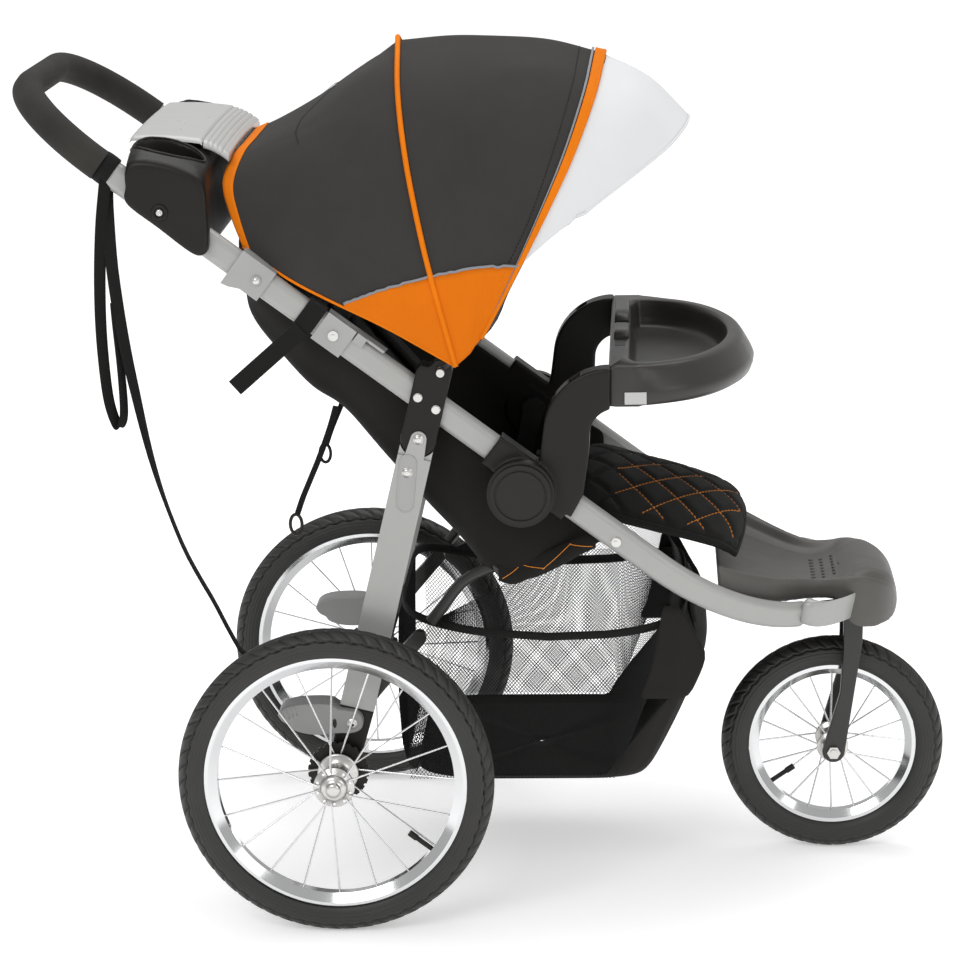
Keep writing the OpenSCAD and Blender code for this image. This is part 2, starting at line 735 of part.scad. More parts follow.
// A closed sheet of even thickness stretched over a row of ribs.
module sheet_over(ribs, thick) {
    n = len(ribs);
    row = rib_steps + 1;
    points = [for (inset = [0, thick]) for (rib = ribs) for (i = [0:rib_steps]) rib_point(rib, i, inset)];
    under = n * row;
    function quad(a, b, c, d) = [[a, b, c], [a, c, d]];
    top = [for (j = [0:n - 2]) for (i = [0:rib_steps - 1])
        each quad(j * row + i, j * row + i + 1, (j + 1) * row + i + 1, (j + 1) * row + i)];
    bottom = [for (f = top) [f[2] + under, f[1] + under, f[0] + under]];
    ends = [for (i = [0:rib_steps - 1]) each concat(
        quad(i + 1, i, i + under, i + 1 + under),
        quad((n - 1) * row + i, (n - 1) * row + i + 1, (n - 1) * row + i + 1 + under, (n - 1) * row + i + under))];
    hems = [for (j = [0:n - 2]) each concat(
        quad(j * row, (j + 1) * row, (j + 1) * row + under, j * row + under),
        quad((j + 1) * row + rib_steps, j * row + rib_steps, j * row + rib_steps + under, (j + 1) * row + rib_steps + under))];
    polyhedron(points = points, faces = concat(top, bottom, ends, hems), convexity = 4);
}

// A round bow bent along a rib, just inside the cloth.
module bow(rib, inset, r) {
    route = [for (i = [0:rib_steps]) rib_point(rib, i, inset)];
    swept_tube(route, unit(cross([0, 1, 0], [rib[2] - rib[0], 0, rib[3] - rib[1]])), r, 12);
}

// Flat foot of a bow on the canopy pin, with the boss its tube ends in.
module bow_foot(rib, face, wide) {
    base = [rib[0], rib[1]];
    reach = (rib[0] - canopy_pivot[0]) / norm(base - canopy_pivot);
    rise = (rib[1] - canopy_pivot[1]) / norm(base - canopy_pivot);
    both_sides() difference() {
        union() {
            plate(face, face + 4.6) {
                translate(canopy_pivot) circle(r = 11, $fn = 48);
                polygon([
                    canopy_pivot + wide * [rise, -reach], base + 7 * [rise, -reach],
                    base - 7 * [rise, -reach], canopy_pivot - wide * [rise, -reach]
                ]);
                translate(base) circle(r = 7, $fn = 48);
            }
            plate(rib[4] - 14, face + 4.6) translate(base) circle(r = 7, $fn = 48);
        }
        cross_bar(canopy_pivot, -260, -200, 5.06);
    }
}

module mid_bow() {
    from_axle() color("#2a2928") {
        bow(mid_rib, 8, 4);
        bow_foot(mid_rib, 238.4, 8);
    }
}

module front_bow() {
    from_axle() color("#2a2928") {
        bow(front_rib, 8, 4);
        bow_foot(front_rib, 243.4, 8);
    }
}

module canopy_rear() from_axle() color("#4a4846") sheet_over(concat(rear_ribs, [mid_rib - [6, -10, 3, 0, 0]]), cloth);
module canopy_front() from_axle() color("#4a4846") sheet_over(concat([mid_rib + [6, 10, 3, 0, 0]], front_ribs, [front_rib + [1, 12, -1, 0, 0]]), cloth);
module visor() from_axle() color("whitesmoke") sheet_over([for (r = visor_ribs) r + [4, 0, 4, 0, 0]], cloth);

// ---- Child tray ----

tray_x0 = 351;
tray_mid = 390;
tray_nose = 145;
tray_deep = 51;
module tray_plan(inset) {
    n = 28;
    polygon(concat(
        [[tray_x0 + inset, -tray_y + inset]],
        [for (i = [0:n]) let (a = -90 + 180 * i / n)
            [tray_mid + (tray_nose - inset) * cos(a), (tray_y - inset) * sin(a)]],
        [[tray_x0 + inset, tray_y - inset]]
    ));
}

module bowl_plan(grow) {
    n = 28;
    polygon(concat(
        [[376 - grow, -128 - grow], [388, -140 - grow]],
        [for (i = [0:n]) let (a = -90 + 180 * i / n) [430 + (76 + grow) * cos(a), (140 + grow) * sin(a)]],
        [[388, 140 + grow], [376 - grow, 128 + grow]]
    ));
}

// Snack tray: a deep bowl, a slot behind it and a tongue for each arm.
module tray() {
    from_axle() color("#4b4a48") difference() {
        union() {
            difference() {
                translate([0, 0, tray_top - tray_deep]) linear_extrude(tray_deep) tray_plan(0);
                translate([0, 0, tray_top - tray_deep - 1]) linear_extrude(tray_deep - 4) difference() {
                    tray_plan(5);
                    bowl_plan(4);
                }
            }
            both_sides() translate([312, -230, 677]) cube([44, 16, 26]);
        }
        translate([0, 0, tray_top - 34]) linear_extrude(40) bowl_plan(0);
        translate([358, -100, tray_top - 4]) cube([10, 200, 10]);
        both_sides() translate([368, -tray_y - 5, 669]) cube([28, 12, 16]);
    }
}

// Release button let into the side of the tray.
module tray_button(left) {
    from_axle() on_side(left) color("silver") translate([368.5, -tray_y - 2, 669.5]) cube([27, 3, 15]);
}

// ---- Free straps ----

// Safety tether from the handle tube down to the right leg.
tether_route = [
    [-262, -219, 945.6], [-262, -222, 929], [-261, -226, 890], [-259, -230, 850], [-255, -233, 810],
    [-250, -235, 770], [-244, -236, 730], [-237, -236, 690], [-230, -236, 650], [-222, -236, 610],
    [-212, -236, 570], [-200, -235, 530], [-186, -234, 490], [-170, -233, 455], [-150, -232, 420],
    [-125, -231, 385], [-95, -230, 355], [-60, -229, 330], [-25, -227, 312], [0, -226, 305]
];
module tether() from_axle() color("#1f1e1d") swept_tube(tether_route, [0, 1, 0], 2.5);

// Elastic recline straps that hang behind the seat.
recline_route = [
    [6, -181, 660], [0, -183, 640], [-9, -184, 615], [-19, -185, 590], [-30, -185, 565], [-40, -184, 542], [-48, -183, 520]
];
module recline_strap(left) from_axle() on_side(left) color("#1f1e1d") swept_tube(recline_route, [0, 1, 0], 2.5);

side_tube(true);  // side_tube_l
side_tube(false);  // side_tube_r
front_cover();
head_tube();
hinge_brackets();
leg_bracket(true);  // leg_bracket_l
leg_bracket(false);  // leg_bracket_r
arm(true);  // arm_l
arm(false);  // arm_r
hub_caps();
seat_bar();
seat_tub();
seat_pad();
basket();
harness();
frame_rivets();
handle_tube();
handle_grip();
console();
console_lid();
storage_strap();
fold_latch(true);  // fold_latch_l
fold_latch(false);  // fold_latch_r
tether();
rear_leg(true);  // rear_leg_l
rear_leg(false);  // rear_leg_r
axle_brackets();
rear_axle();
brake_pedal(true);  // brake_pedal_l
brake_pedal(false);  // brake_pedal_r
upper_braces();
lower_braces();
rear_tyre(true);  // rear_tyre_l
rear_rim(true);  // rear_rim_l
rear_spokes(true);  // rear_spokes_l
rear_hub(true);  // rear_hub_l
rear_disc(true);  // brake_disc_l
rear_tyre(false);  // rear_tyre_r
rear_rim(false);  // rear_rim_r
rear_spokes(false);  // rear_spokes_r
rear_hub(false);  // rear_hub_r
rear_disc(false);  // brake_disc_r
front_tyre();
front_rim();
front_spokes();
front_hub();
fork();
front_axle();
swivel_lock();
mid_bow();
canopy_rear();
front_bow();
canopy_front();
visor();
tray();
tray_button(true);  // tray_button_l
tray_button(false);  // tray_button_r
backrest();
recline_strap(true);  // recline_strap_l
recline_strap(false);  // recline_strap_r
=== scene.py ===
import bpy, bmesh, json, math
from mathutils import Vector, Matrix
from mathutils.bvhtree import BVHTree

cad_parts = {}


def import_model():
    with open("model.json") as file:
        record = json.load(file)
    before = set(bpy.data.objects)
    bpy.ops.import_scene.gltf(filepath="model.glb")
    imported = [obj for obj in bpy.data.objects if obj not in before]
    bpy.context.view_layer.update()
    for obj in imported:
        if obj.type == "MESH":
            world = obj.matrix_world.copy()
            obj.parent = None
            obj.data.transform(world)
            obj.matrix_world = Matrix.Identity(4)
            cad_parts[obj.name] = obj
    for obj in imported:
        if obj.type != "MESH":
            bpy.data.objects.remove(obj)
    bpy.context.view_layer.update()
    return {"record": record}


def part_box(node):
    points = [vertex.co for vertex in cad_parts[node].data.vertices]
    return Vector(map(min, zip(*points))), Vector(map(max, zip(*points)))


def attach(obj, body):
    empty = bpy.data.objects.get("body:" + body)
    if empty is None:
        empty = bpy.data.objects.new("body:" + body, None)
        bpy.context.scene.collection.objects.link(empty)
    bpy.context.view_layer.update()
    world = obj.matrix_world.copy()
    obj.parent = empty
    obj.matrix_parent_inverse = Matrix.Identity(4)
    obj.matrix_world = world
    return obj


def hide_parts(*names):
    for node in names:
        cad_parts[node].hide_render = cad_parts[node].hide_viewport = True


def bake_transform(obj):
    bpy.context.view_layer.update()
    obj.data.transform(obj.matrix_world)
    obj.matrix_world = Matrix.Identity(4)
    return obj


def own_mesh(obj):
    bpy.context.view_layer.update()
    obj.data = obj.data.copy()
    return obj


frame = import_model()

# Lengths below are millimetres from the rear axle (x), the middle plane (y) and the ground (z).
_a, _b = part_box("rear_axle")
AXLE_X = (_a.x + _b.x) / 2


def V(x, y, z):
    """The frame's point for mm: x from the rear axle, y from the middle, z from the floor."""
    return Vector((AXLE_X + x / 1000, y / 1000, z / 1000))


def flip(p):
    """The same point on the other side of the middle plane."""
    return Vector((p.x, -p.y, p.z))


def turn(n, shift=0.0):
    """n angles round a full circle."""
    return [2 * math.pi * (k + shift) / n for k in range(n)]


# ------------------------------------------------------------ camera


def make_camera():
    """The camera of the fitted side view."""
    yaw, pitch, roll = math.radians(-3.336), math.radians(14.723), math.radians(1.372)
    fwd = Vector((math.sin(yaw) * math.cos(pitch), math.cos(yaw) * math.cos(pitch), -math.sin(pitch)))
    right = Vector((math.cos(yaw), -math.sin(yaw), 0))
    down = fwd.cross(right)
    r2 = math.cos(roll) * right + math.sin(roll) * down
    d2 = -math.sin(roll) * right + math.cos(roll) * down
    cam = bpy.data.objects.new("camera", bpy.data.cameras.new("camera"))
    bpy.context.scene.collection.objects.link(cam)
    cam.data.lens, cam.data.sensor_width = 114.46, 36
    m = Matrix((r2, -d2, -fwd)).transposed().to_4x4()
    m.translation = Vector((0.4013 + AXLE_X, -3.8956, 1.5400))
    cam.matrix_world = m
    cam.data.clip_end = 60
    bpy.context.scene.camera = cam


make_camera()

# ------------------------------------------------------------ helpers


def obj(name, verts, faces, mat=None, smooth=True):
    """A mesh object from points and faces."""
    me = bpy.data.meshes.new(name)
    me.from_pydata([tuple(v) for v in verts], [], faces)
    me.validate()
    me.update()
    o = bpy.data.objects.new(name, me)
    bpy.context.scene.collection.objects.link(o)
    for m in (mat if isinstance(mat, (list, tuple)) else [mat]):
        if m:
            me.materials.append(m)
    if smooth:
        me.polygons.foreach_set("use_smooth", [True] * len(me.polygons))
    return o


def grid(name, rows, mat=None, cu=False, cv=False):
    """A quad surface over rows of points; cu and cv close it along and across."""
    n, m = len(rows), len(rows[0])
    faces = []
    for i in range(n if cu else n - 1):
        for j in range(m if cv else m - 1):
            a, b = i * m + j, i * m + (j + 1) % m
            c, d = ((i + 1) % n) * m + (j + 1) % m, ((i + 1) % n) * m + j
            faces.append((a, b, c, d))
    return obj(name, [p for r in rows for p in r], faces, mat)


def apply_mods(o):
    """Bakes o's modifiers into its mesh."""
    bpy.context.view_layer.update()
    dg = bpy.context.evaluated_depsgraph_get()
    me = bpy.data.meshes.new_from_object(o.evaluated_get(dg))
    old = o.data
    o.modifiers.clear()
    o.data = me
    if old.users == 0:
        bpy.data.meshes.remove(old)
    return o


def mod(o, kind, **kw):
    """Adds a modifier to o."""
    m = o.modifiers.new(kind, kind)
    for k, v in kw.items():
        setattr(m, k, v)
    return o


def thick(o, t, off=-1.0):
    """Gives a cloth a thickness of t mm."""
    return apply_mods(mod(o, "SOLIDIFY", thickness=t / 1000, offset=off))


def subd(o, n=1):
    """Subdivides o smoothly."""
    return apply_mods(mod(o, "SUBSURF", levels=n, render_levels=n))


def catmull(pts, n):
    """n points per span along a smooth curve through pts."""
    out = []
    p = [Vector(q) for q in pts]
    for i in range(len(p) - 1):
        a = p[i - 1] if i else p[0] * 2 - p[1]
        d = p[i + 2] if i + 2 < len(p) else p[-1] * 2 - p[-2]
        b, c = p[i], p[i + 1]
        for k in range(n):
            t = k / n
            out.append(0.5 * (2 * b + (c - a) * t + (2 * a - 5 * b + 4 * c - d) * t * t
                + (3 * b - a - 3 * c + d) * t ** 3))
    out.append(p[-1])
    return out


def resample(pts, n):
    """n evenly spaced points along a polyline."""
    L = [0]
    for a, b in zip(pts, pts[1:]):
        L.append(L[-1] + (b - a).length)
    out, k = [], 0
    for i in range(n):
        s = L[-1] * i / (n - 1)
        while k < len(pts) - 2 and L[k + 1] < s:
            k += 1
        w = (s - L[k]) / max(L[k + 1] - L[k], 1e-12)
        out.append(pts[k].lerp(pts[k + 1], min(max(w, 0), 1)))
    return out


def cap_ends(o, n, m):
    """Closes both ends of a grid of n rings with m points each."""
    bm = bmesh.new()
    bm.from_mesh(o.data)
    bm.verts.ensure_lookup_table()
    bm.faces.new([bm.verts[k] for k in range(m)][::-1])
    bm.faces.new([bm.verts[(n - 1) * m + k] for k in range(m)])
    bm.to_mesh(o.data)
    bm.free()
    return o


def tube(name, pts, r, mat, m=12, flat=Vector((0, 0, 1)), closed=False):
    """A round or oval tube along pts; r is a number or (r1, r2) along flat and across."""
    r1, r2 = r if isinstance(r, (tuple, list)) else (r, r)
    rows, n = [], len(pts)
    side = None
    for i, p in enumerate(pts):
        q = pts[(i + 1) % n] if closed or i + 1 < n else p
        o = pts[i - 1] if closed or i else p
        d = (q - o).normalized()
        if side is None:
            side = flat - flat.dot(d) * d
            if side.length < 1e-4:
                side = d.orthogonal()
        side = (side - side.dot(d) * d).normalized()
        up = d.cross(side)
        rows.append([p + side * (r1 / 1000 * math.cos(a)) + up * (r2 / 1000 * math.sin(a)) for a in turn(m)])
    o = grid(name, rows, mat, cu=closed, cv=True)
    return o if closed else cap_ends(o, n, m)


def ribbon(name, pts, width, t, mat, across=Vector((0, 1, 0))):
    """A flat strap: width along across, thickness t, with rounded edges."""
    rows = []
    n = len(pts)
    w, h = width / 2000, t / 2000
    top = [(-w + h, h), (-w / 2, h * 1.15), (0, h), (w / 2, h * 1.15), (w - h, h)]
    sec = [(-w, 0)] + top + [(w, 0)] + [(x, -y) for x, y in top[::-1]]
    for i, p in enumerate(pts):
        d = (pts[min(i + 1, n - 1)] - pts[max(i - 1, 0)]).normalized()
        a = across[i] if isinstance(across, list) else across
        a = (a - a.dot(d) * d).normalized()
        u = d.cross(a)
        rows.append([p + a * x + u * y for x, y in sec])
    return cap_ends(grid(name, rows, mat, cv=True), n, len(sec))


def join(name, objs):
    """Joins objects into one that is called name."""
    for o in objs:
        if o.data.users > 1:
            o.data = o.data.copy()
    with bpy.context.temp_override(active_object=objs[0], selected_objects=objs,
            selected_editable_objects=objs, object=objs[0]):
        bpy.ops.object.join()
    objs[0].name = name
    objs[0].data.name = name
    return objs[0]


def recalc(o):
    """Turns o's faces outwards."""
    bm = bmesh.new()
    bm.from_mesh(o.data)
    bmesh.ops.remove_doubles(bm, verts=bm.verts, dist=1e-6)
    bmesh.ops.recalc_face_normals(bm, faces=bm.faces)
    bm.to_mesh(o.data)
    bm.free()
    return o


def outward(o, c):
    """Turns an open sheet's faces away from c."""
    if sum((f.center - c).dot(f.normal) * f.area for f in o.data.polygons) < 0:
        o.data.flip_normals()
    return o


def lathe(name, prof, mat, n=64):
    """Revolves (r, h) points round the Y axis."""
    rows = []
    for a in turn(n):
        rows.append([Vector((r / 1000 * math.cos(a), h / 1000, r / 1000 * math.sin(a))) for r, h in prof])
    return grid(name, rows, mat, cu=True)


# ------------------------------------------------------------ materials


class Nodes:
    """A material and short forms for the nodes in it."""
    def __init__(self, name):
        self.m = bpy.data.materials.new(name)
        self.m.use_nodes = True
        self.t = self.m.node_tree
        self.b = self.t.nodes["Principled BSDF"]
        self.co = self.add("ShaderNodeTexCoord").outputs["Object"]

    def add(self, kind, **kw):
        n = self.t.nodes.new(kind)
        for k, v in kw.items():
            setattr(n, k, v)
        return n

    def link(self, a, b):
        self.t.links.new(a, b)

    def noise(self, scale, detail=3.0, rough=0.5):
        n = self.add("ShaderNodeTexNoise")
        n.inputs["Scale"].default_value = scale
        n.inputs["Detail"].default_value = detail
        n.inputs["Roughness"].default_value = rough
        self.link(self.co, n.inputs["Vector"])
        return n.outputs["Fac"]

    def wave(self, scale, direction):
        n = self.add("ShaderNodeTexWave", bands_direction=direction)
        n.inputs["Scale"].default_value = scale
        self.link(self.co, n.inputs["Vector"])
        return n.outputs["Fac"]

    def math(self, op, a, b=0.0, c=None):
        n = self.add("ShaderNodeMath", operation=op)
        for i, v in enumerate((a, b) if c is None else (a, b, c)):
            if isinstance(v, (int, float)):
                n.inputs[i].default_value = v
            else:
                self.link(v, n.inputs[i])
        return n.outputs[0]

    def ramp(self, fac, stops):
        n = self.add("ShaderNodeValToRGB")
        e = n.color_ramp.elements
        while len(e) < len(stops):
            e.new(0.5)
        for el, (p, c) in zip(e, stops):
            el.position = p
            el.color = (*c, 1) if len(c) == 3 else c
        self.link(fac, n.inputs["Fac"])
        return n.outputs["Color"]

    def bump(self, height, strength, dist):
        n = self.add("ShaderNodeBump")
        n.inputs["Strength"].default_value = strength
        n.inputs["Distance"].default_value = dist
        self.link(height, n.inputs["Height"])
        self.link(n.outputs["Normal"], self.b.inputs["Normal"])

    def set(self, **kw):
        for k, v in kw.items():
            s = self.b.inputs[k.replace("_", " ")]
            if isinstance(v, tuple):
                s.default_value = (*v, 1) if len(v) == 3 else v
            elif isinstance(v, (int, float)):
                s.default_value = v
            else:
                self.link(v, s)


def tint(c, k):
    """Colour c made k times as bright."""
    return tuple(min(1, x * k) for x in c)


def plastic(name, c, rough=0.45, grain=1400, bump=0.12, var=0.08, dist=0.0004, coat=0.0, spec=0.25):
    """A grained plastic."""
    n = Nodes(name)
    big = n.noise(14, 3)
    col = n.ramp(big, [(0.3, tint(c, 1 - var)), (0.7, tint(c, 1 + var))])
    fine = n.noise(grain, 2)
    r = n.math("MULTIPLY_ADD", n.noise(35, 4), 0.14, rough - 0.07)
    n.set(Base_Color=col, Roughness=r)
    n.b.inputs["Specular IOR Level"].default_value = spec
    n.b.inputs["Coat Weight"].default_value = coat
    n.bump(fine, bump, dist)
    return n.m


def metal(name, c, rough, grain=600, var=0.04, bump=0.03, metallic=1.0, coat=0.0):
    """A painted, cast or plated metal."""
    n = Nodes(name)
    col = n.ramp(n.noise(9, 4), [(0.3, tint(c, 1 - var)), (0.7, tint(c, 1 + var))])
    r = n.math("MULTIPLY_ADD", n.noise(60, 5), rough * 0.5, rough * 0.75)
    n.set(Base_Color=col, Roughness=r, Metallic=metallic)
    n.b.inputs["Coat Weight"].default_value = coat
    n.bump(n.noise(grain, 2), bump, 0.0002)
    return n.m


def cloth(name, c, thread=900, bump=0.35, rough=0.85, var=0.12, sheen=0.25, fleck=0.25, dist=0.0005):
    """A woven cloth."""
    n = Nodes(name)
    w = n.math("ADD", n.wave(thread, "X"), n.wave(thread, "Z"))
    w = n.math("ADD", w, n.wave(thread, "Y"))
    h = n.math("MULTIPLY", w, 0.333)
    soft = n.noise(7, 4, 0.6)
    col = n.ramp(soft, [(0.25, tint(c, 1 - var)), (0.75, tint(c, 1 + var))])
    thr = n.math("MULTIPLY_ADD", n.noise(thread * 1.6, 2), fleck, 1 - fleck / 2)
    col2 = n.add("ShaderNodeMix", data_type="RGBA", blend_type="MULTIPLY")
    col2.inputs["Factor"].default_value = 1
    n.link(col, col2.inputs["A"])
    n.link(thr, col2.inputs["B"])
    n.set(Base_Color=col2.outputs["Result"], Roughness=rough)
    n.b.inputs["Specular IOR Level"].default_value = 0.18
    n.b.inputs["Sheen Weight"].default_value = sheen
    n.b.inputs["Sheen Roughness"].default_value = 0.5
    hh = n.math("ADD", h, n.math("MULTIPLY", n.noise(60, 4), 0.6))
    n.bump(hh, bump, dist)
    return n.m


M = dict(
    silver=metal("silver_paint", (0.345, 0.345, 0.333), 0.42, var=0.03, metallic=0.25, coat=0.15),
    silver_dk=metal("silver_cast", (0.33, 0.33, 0.325), 0.45, var=0.06, metallic=0.25),
    black_paint=metal("black_paint", (0.014, 0.013, 0.012), 0.36, metallic=0.0, bump=0.06, coat=0.1),
    plastic=plastic("charcoal_plastic", (0.0085, 0.0074, 0.0062), 0.40),
    tray=plastic("tray_plastic", (0.033, 0.0305, 0.028), 0.34, var=0.05, spec=0.35),
    pan=plastic("pan_plastic", (0.092, 0.086, 0.079), 0.42, bump=0.2, spec=0.35),
    grey=plastic("grey_plastic", (0.225, 0.225, 0.222), 0.38, spec=0.5),
    pale=plastic("pale_plastic", (0.44, 0.44, 0.43), 0.30, bump=0.015, var=0.02, coat=0.1, spec=0.5),
    cap=plastic("cap_plastic", (0.0135, 0.012, 0.0105), 0.38),
    red=plastic("red_plastic", (0.55, 0.02, 0.02), 0.35),
    tyre=plastic("tyre_rubber", (0.0165, 0.016, 0.0145), 0.50, grain=500, bump=0.2, var=0.12, spec=0.5),
    foam=plastic("foam_rubber", (0.030, 0.028, 0.025), 0.85, grain=1100, bump=0.6, var=0.2, dist=0.0006),
    chrome=metal("chrome", (0.66, 0.665, 0.67), 0.11, bump=0.01, var=0.02),
    spoke=metal("spoke_wire", (0.75, 0.75, 0.76), 0.22, var=0.05),
    steel=metal("plated_steel", (0.62, 0.61, 0.59), 0.3, var=0.06),
    black=cloth("black_cloth", (0.0095, 0.0088, 0.0078), 800, sheen=0.03),
    black_tight=cloth("black_ripstop", (0.0150, 0.0140, 0.0128), 700, bump=0.2, sheen=0.03),
    charcoal=cloth("charcoal_canvas", (0.036, 0.0345, 0.032), 900, bump=0.3, var=0.14, sheen=0.03),
    orange=cloth("orange_canvas", (0.66, 0.150, 0.0012), 900, bump=0.3, var=0.08, sheen=0.0, fleck=0.12),
    piping=cloth("orange_piping", (0.72, 0.175, 0.0015), 1500, bump=0.25, sheen=0.0, fleck=0.12),
    grey_pipe=cloth("grey_piping", (0.22, 0.23, 0.25), 1500, bump=0.2, rough=0.5),
    visor=cloth("silver_cloth", (0.66, 0.67, 0.68), 1000, bump=0.15, rough=0.55, var=0.03, sheen=0.1,
        fleck=0.05),
    web=cloth("black_webbing", (0.0085, 0.0082, 0.0078), 500, bump=0.7, sheen=0.05),
    net=cloth("net_cord", (0.016, 0.016, 0.016), 1200, bump=0.2, sheen=0.0),
    seam=cloth("dark_thread", (0.008, 0.008, 0.008), 2500, sheen=0.0),
    thread=cloth("orange_thread", (0.74, 0.24, 0.012), 2500, bump=0.3, fleck=0.3),
    pad=cloth("quilted_cloth", (0.0095, 0.0090, 0.0082), 650, bump=0.6, fleck=0.7, sheen=0.04),
)

# Each material slot's material, then the nodes that differ from their slot.
SLOT_MAT = {
    "black_fabric": "black", "black_steel": "black_paint", "bright_steel": "steel",
    "canopy_fabric": "charcoal",
    "chrome_rim": "chrome", "dark_plastic": "plastic", "foam_grip": "foam", "grey_plastic": "silver_dk",
    "pale_plastic": "pale", "red_plastic": "red", "silver_tube": "silver", "spoke_steel": "spoke",
    "tray_plastic": "pan", "tyre_rubber": "tyre", "visor_fabric": "visor", "webbing": "web",
}
ODD = {
    "hinge_brackets": "silver_dk", "hub_caps": "cap", "seat_pad": "pad", "basket": "black_tight",
    "brake_pedal_l": "grey", "brake_pedal_r": "grey", "brake_disc_l": "cap", "brake_disc_r": "cap",
    "tray": "tray",
}
SLOT_OF = {s["node"]: s["material_slot"] for s in frame["record"]["subparts"]}
NODE = {}
for name, slot in SLOT_OF.items():
    o = NODE[name] = bpy.data.objects[name]
    mat = M[ODD.get(name, SLOT_MAT[slot])]
    if not o.material_slots:
        o.data.materials.append(mat)
    for s in o.material_slots:
        s.link = "OBJECT"
        s.material = mat

# ------------------------------------------------------------ placing pieces


def place(o, body, slot, *nodes):
    """A rigid piece on one body, in place of the named CAD nodes."""
    if nodes:
        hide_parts(*nodes)
    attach(o, body)
    return o


def span_joint(o, joint, slot, *nodes):
    """A cloth piece shared by two bodies; joint is (body, body, start, end)."""
    if nodes:
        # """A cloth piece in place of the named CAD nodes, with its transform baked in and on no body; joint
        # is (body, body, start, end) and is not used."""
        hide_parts(*nodes)
    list(joint)
    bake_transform(o)
    return o


def rounded(o, voxel, passes):
    """Remeshes o and smooths its edges."""
    mod(o, "REMESH", mode="VOXEL", voxel_size=voxel / 1000, use_smooth_shade=True)
    mod(o, "SMOOTH", factor=0.5, iterations=passes)
    apply_mods(o)
    o.data.polygons.foreach_set("use_smooth", [True] * len(o.data.polygons))
    return o


def soften(node, name, body, mat, voxel, passes):
    """A rounded moulding made from a CAD node's own shape."""
    src = NODE[node]
    o = bpy.data.objects.new(name, src.data.copy())
    bpy.context.scene.collection.objects.link(o)
    o.data.materials.clear()
    o.data.materials.append(mat)
    return place(rounded(o, voxel, passes), body, SLOT_OF[node], node)


def stitches(name, f, lines, mat, length=5.0, gapmm=2.2, r=0.75):
    """Separate thread stitches along lines of (s, y) points."""
    verts, faces = [], []
    for line in lines:
        pts = [Vector((a, b, 0)) for a, b in line]
        tot = sum((q - p).length for p, q in zip(pts, pts[1:]))
        n = int(tot / (length + gapmm))
        dense = resample(pts, max(2, n * 4 + 1))
        for i in range(n):
            seg = [f(q.x, q.y, 0.35 + (0.35 if 0 < k < 3 else -0.25))
                for k, q in enumerate(dense[i * 4:i * 4 + 4])]
            d = seg[-1] - seg[0]
            if d.length < 1e-5:
                continue
            d.normalize()
            side = d.orthogonal().normalized()
            up = d.cross(side)
            base = len(verts)
            for k, p in enumerate(seg):
                rr = r / 1000 * (1.0 if 0 < k < 3 else 0.55)
                verts += [p + side * rr * math.cos(a) + up * rr * math.sin(a)
                    for a in (0, 1.257, 2.513, 3.77, 5.027)]
            for k in range(len(seg) - 1):
                for j in range(5):
                    a = base + k * 5 + j
                    b = base + k * 5 + (j + 1) % 5
                    faces.append((a, b, b + 5, a + 5))
            faces.append(tuple(base + j for j in range(5))[::-1])
            faces.append(tuple(base + (len(seg) - 1) * 5 + j for j in range(5)))
    return obj(name, verts, faces, mat)


# ------------------------------------------------------------ canopy
# Ribs of the hood from its back to its front edge, each from hem to middle: x, height, half width.
R0 = [(-100, 868, 202), (-115, 905, 192), (-126, 942, 172), (-119, 967, 120), (-113, 974, 60), (-113, 974, 0)]
R1 = [(-51, 834, 214), (-58, 880, 207), (-64, 930, 190), (-54, 985, 140), (-33, 1014, 70), (-27, 1021, 0)]
R2 = [(9, 803, 226), (2, 850, 222), (-8, 920, 208), (0, 1000, 160), (16, 1044, 85), (21, 1053, 0)]
R3 = [(84, 766, 234), (70, 840, 226), (58, 930, 212), (57, 1010, 170), (60, 1063, 95), (64, 1083, 0)]
RM = [(162, 722, 240), (133, 831, 226), (116, 907, 212), (102, 978, 184), (91, 1046, 125), (83, 1098, 0)]
R4 = [(176, 736, 240), (173, 830, 228), (170, 915, 214), (170, 990, 186), (170, 1060, 124), (172, 1102, 0)]
R5 = [(186, 746, 239), (212, 835, 225), (232, 912, 208), (249, 990, 178), (260, 1060, 112), (264, 1098, 0)]
RF = [(194, 756, 238), (238, 836, 220), (276, 908, 200), (306, 968, 168), (333, 1034, 106), (346, 1077, 0)]
NS = 28  # spans from the hem to the middle of a rib
CANOPY_MID = V(100, 0, 850)  # inside the hood, to tell its outside from its inside


def rib(pts):
    """A full rib from the points of its right half."""
    half = resample(catmull([V(x, -y, z) for x, z, y in pts], 8), NS + 1)
    return half + [flip(p) for p in half[-2::-1]]


def smooth_rows(keys, n):
    """Rows interpolated smoothly through key rows."""
    cols = [catmull([r[j] for r in keys], n) for j in range(len(keys[0]))]
    return [[c[i] for c in cols] for i in range(len(cols[0]))]


rear_rows = smooth_rows([rib(r) for r in (R0, R1, R2, R3, RM)], 7)
front_rows = smooth_rows([rib(r) for r in (RM, R4, R5, RF)], 8)


def wrinkle(rows, amp):
    """Draws small folds into the rows of a canopy panel."""
    for i, r in enumerate(rows):
        u = i / (len(rows) - 1)
        for j, p in enumerate(r):
            s = abs(j / (len(r) - 1) * 2 - 1)
            e = math.sin(math.pi * u) * amp / 1000
            k = math.sin(u * 9 + s * 5) * 0.5 + math.sin(u * 4 - s * 13 + 1.3) * 0.5
            n = Vector((0.1, p.y * 1.2, p.z - 0.86)).normalized()
            r[j] = p + n * e * k
    return rows


wrinkle(rear_rows, 3.6)
wrinkle(front_rows, 2.2)


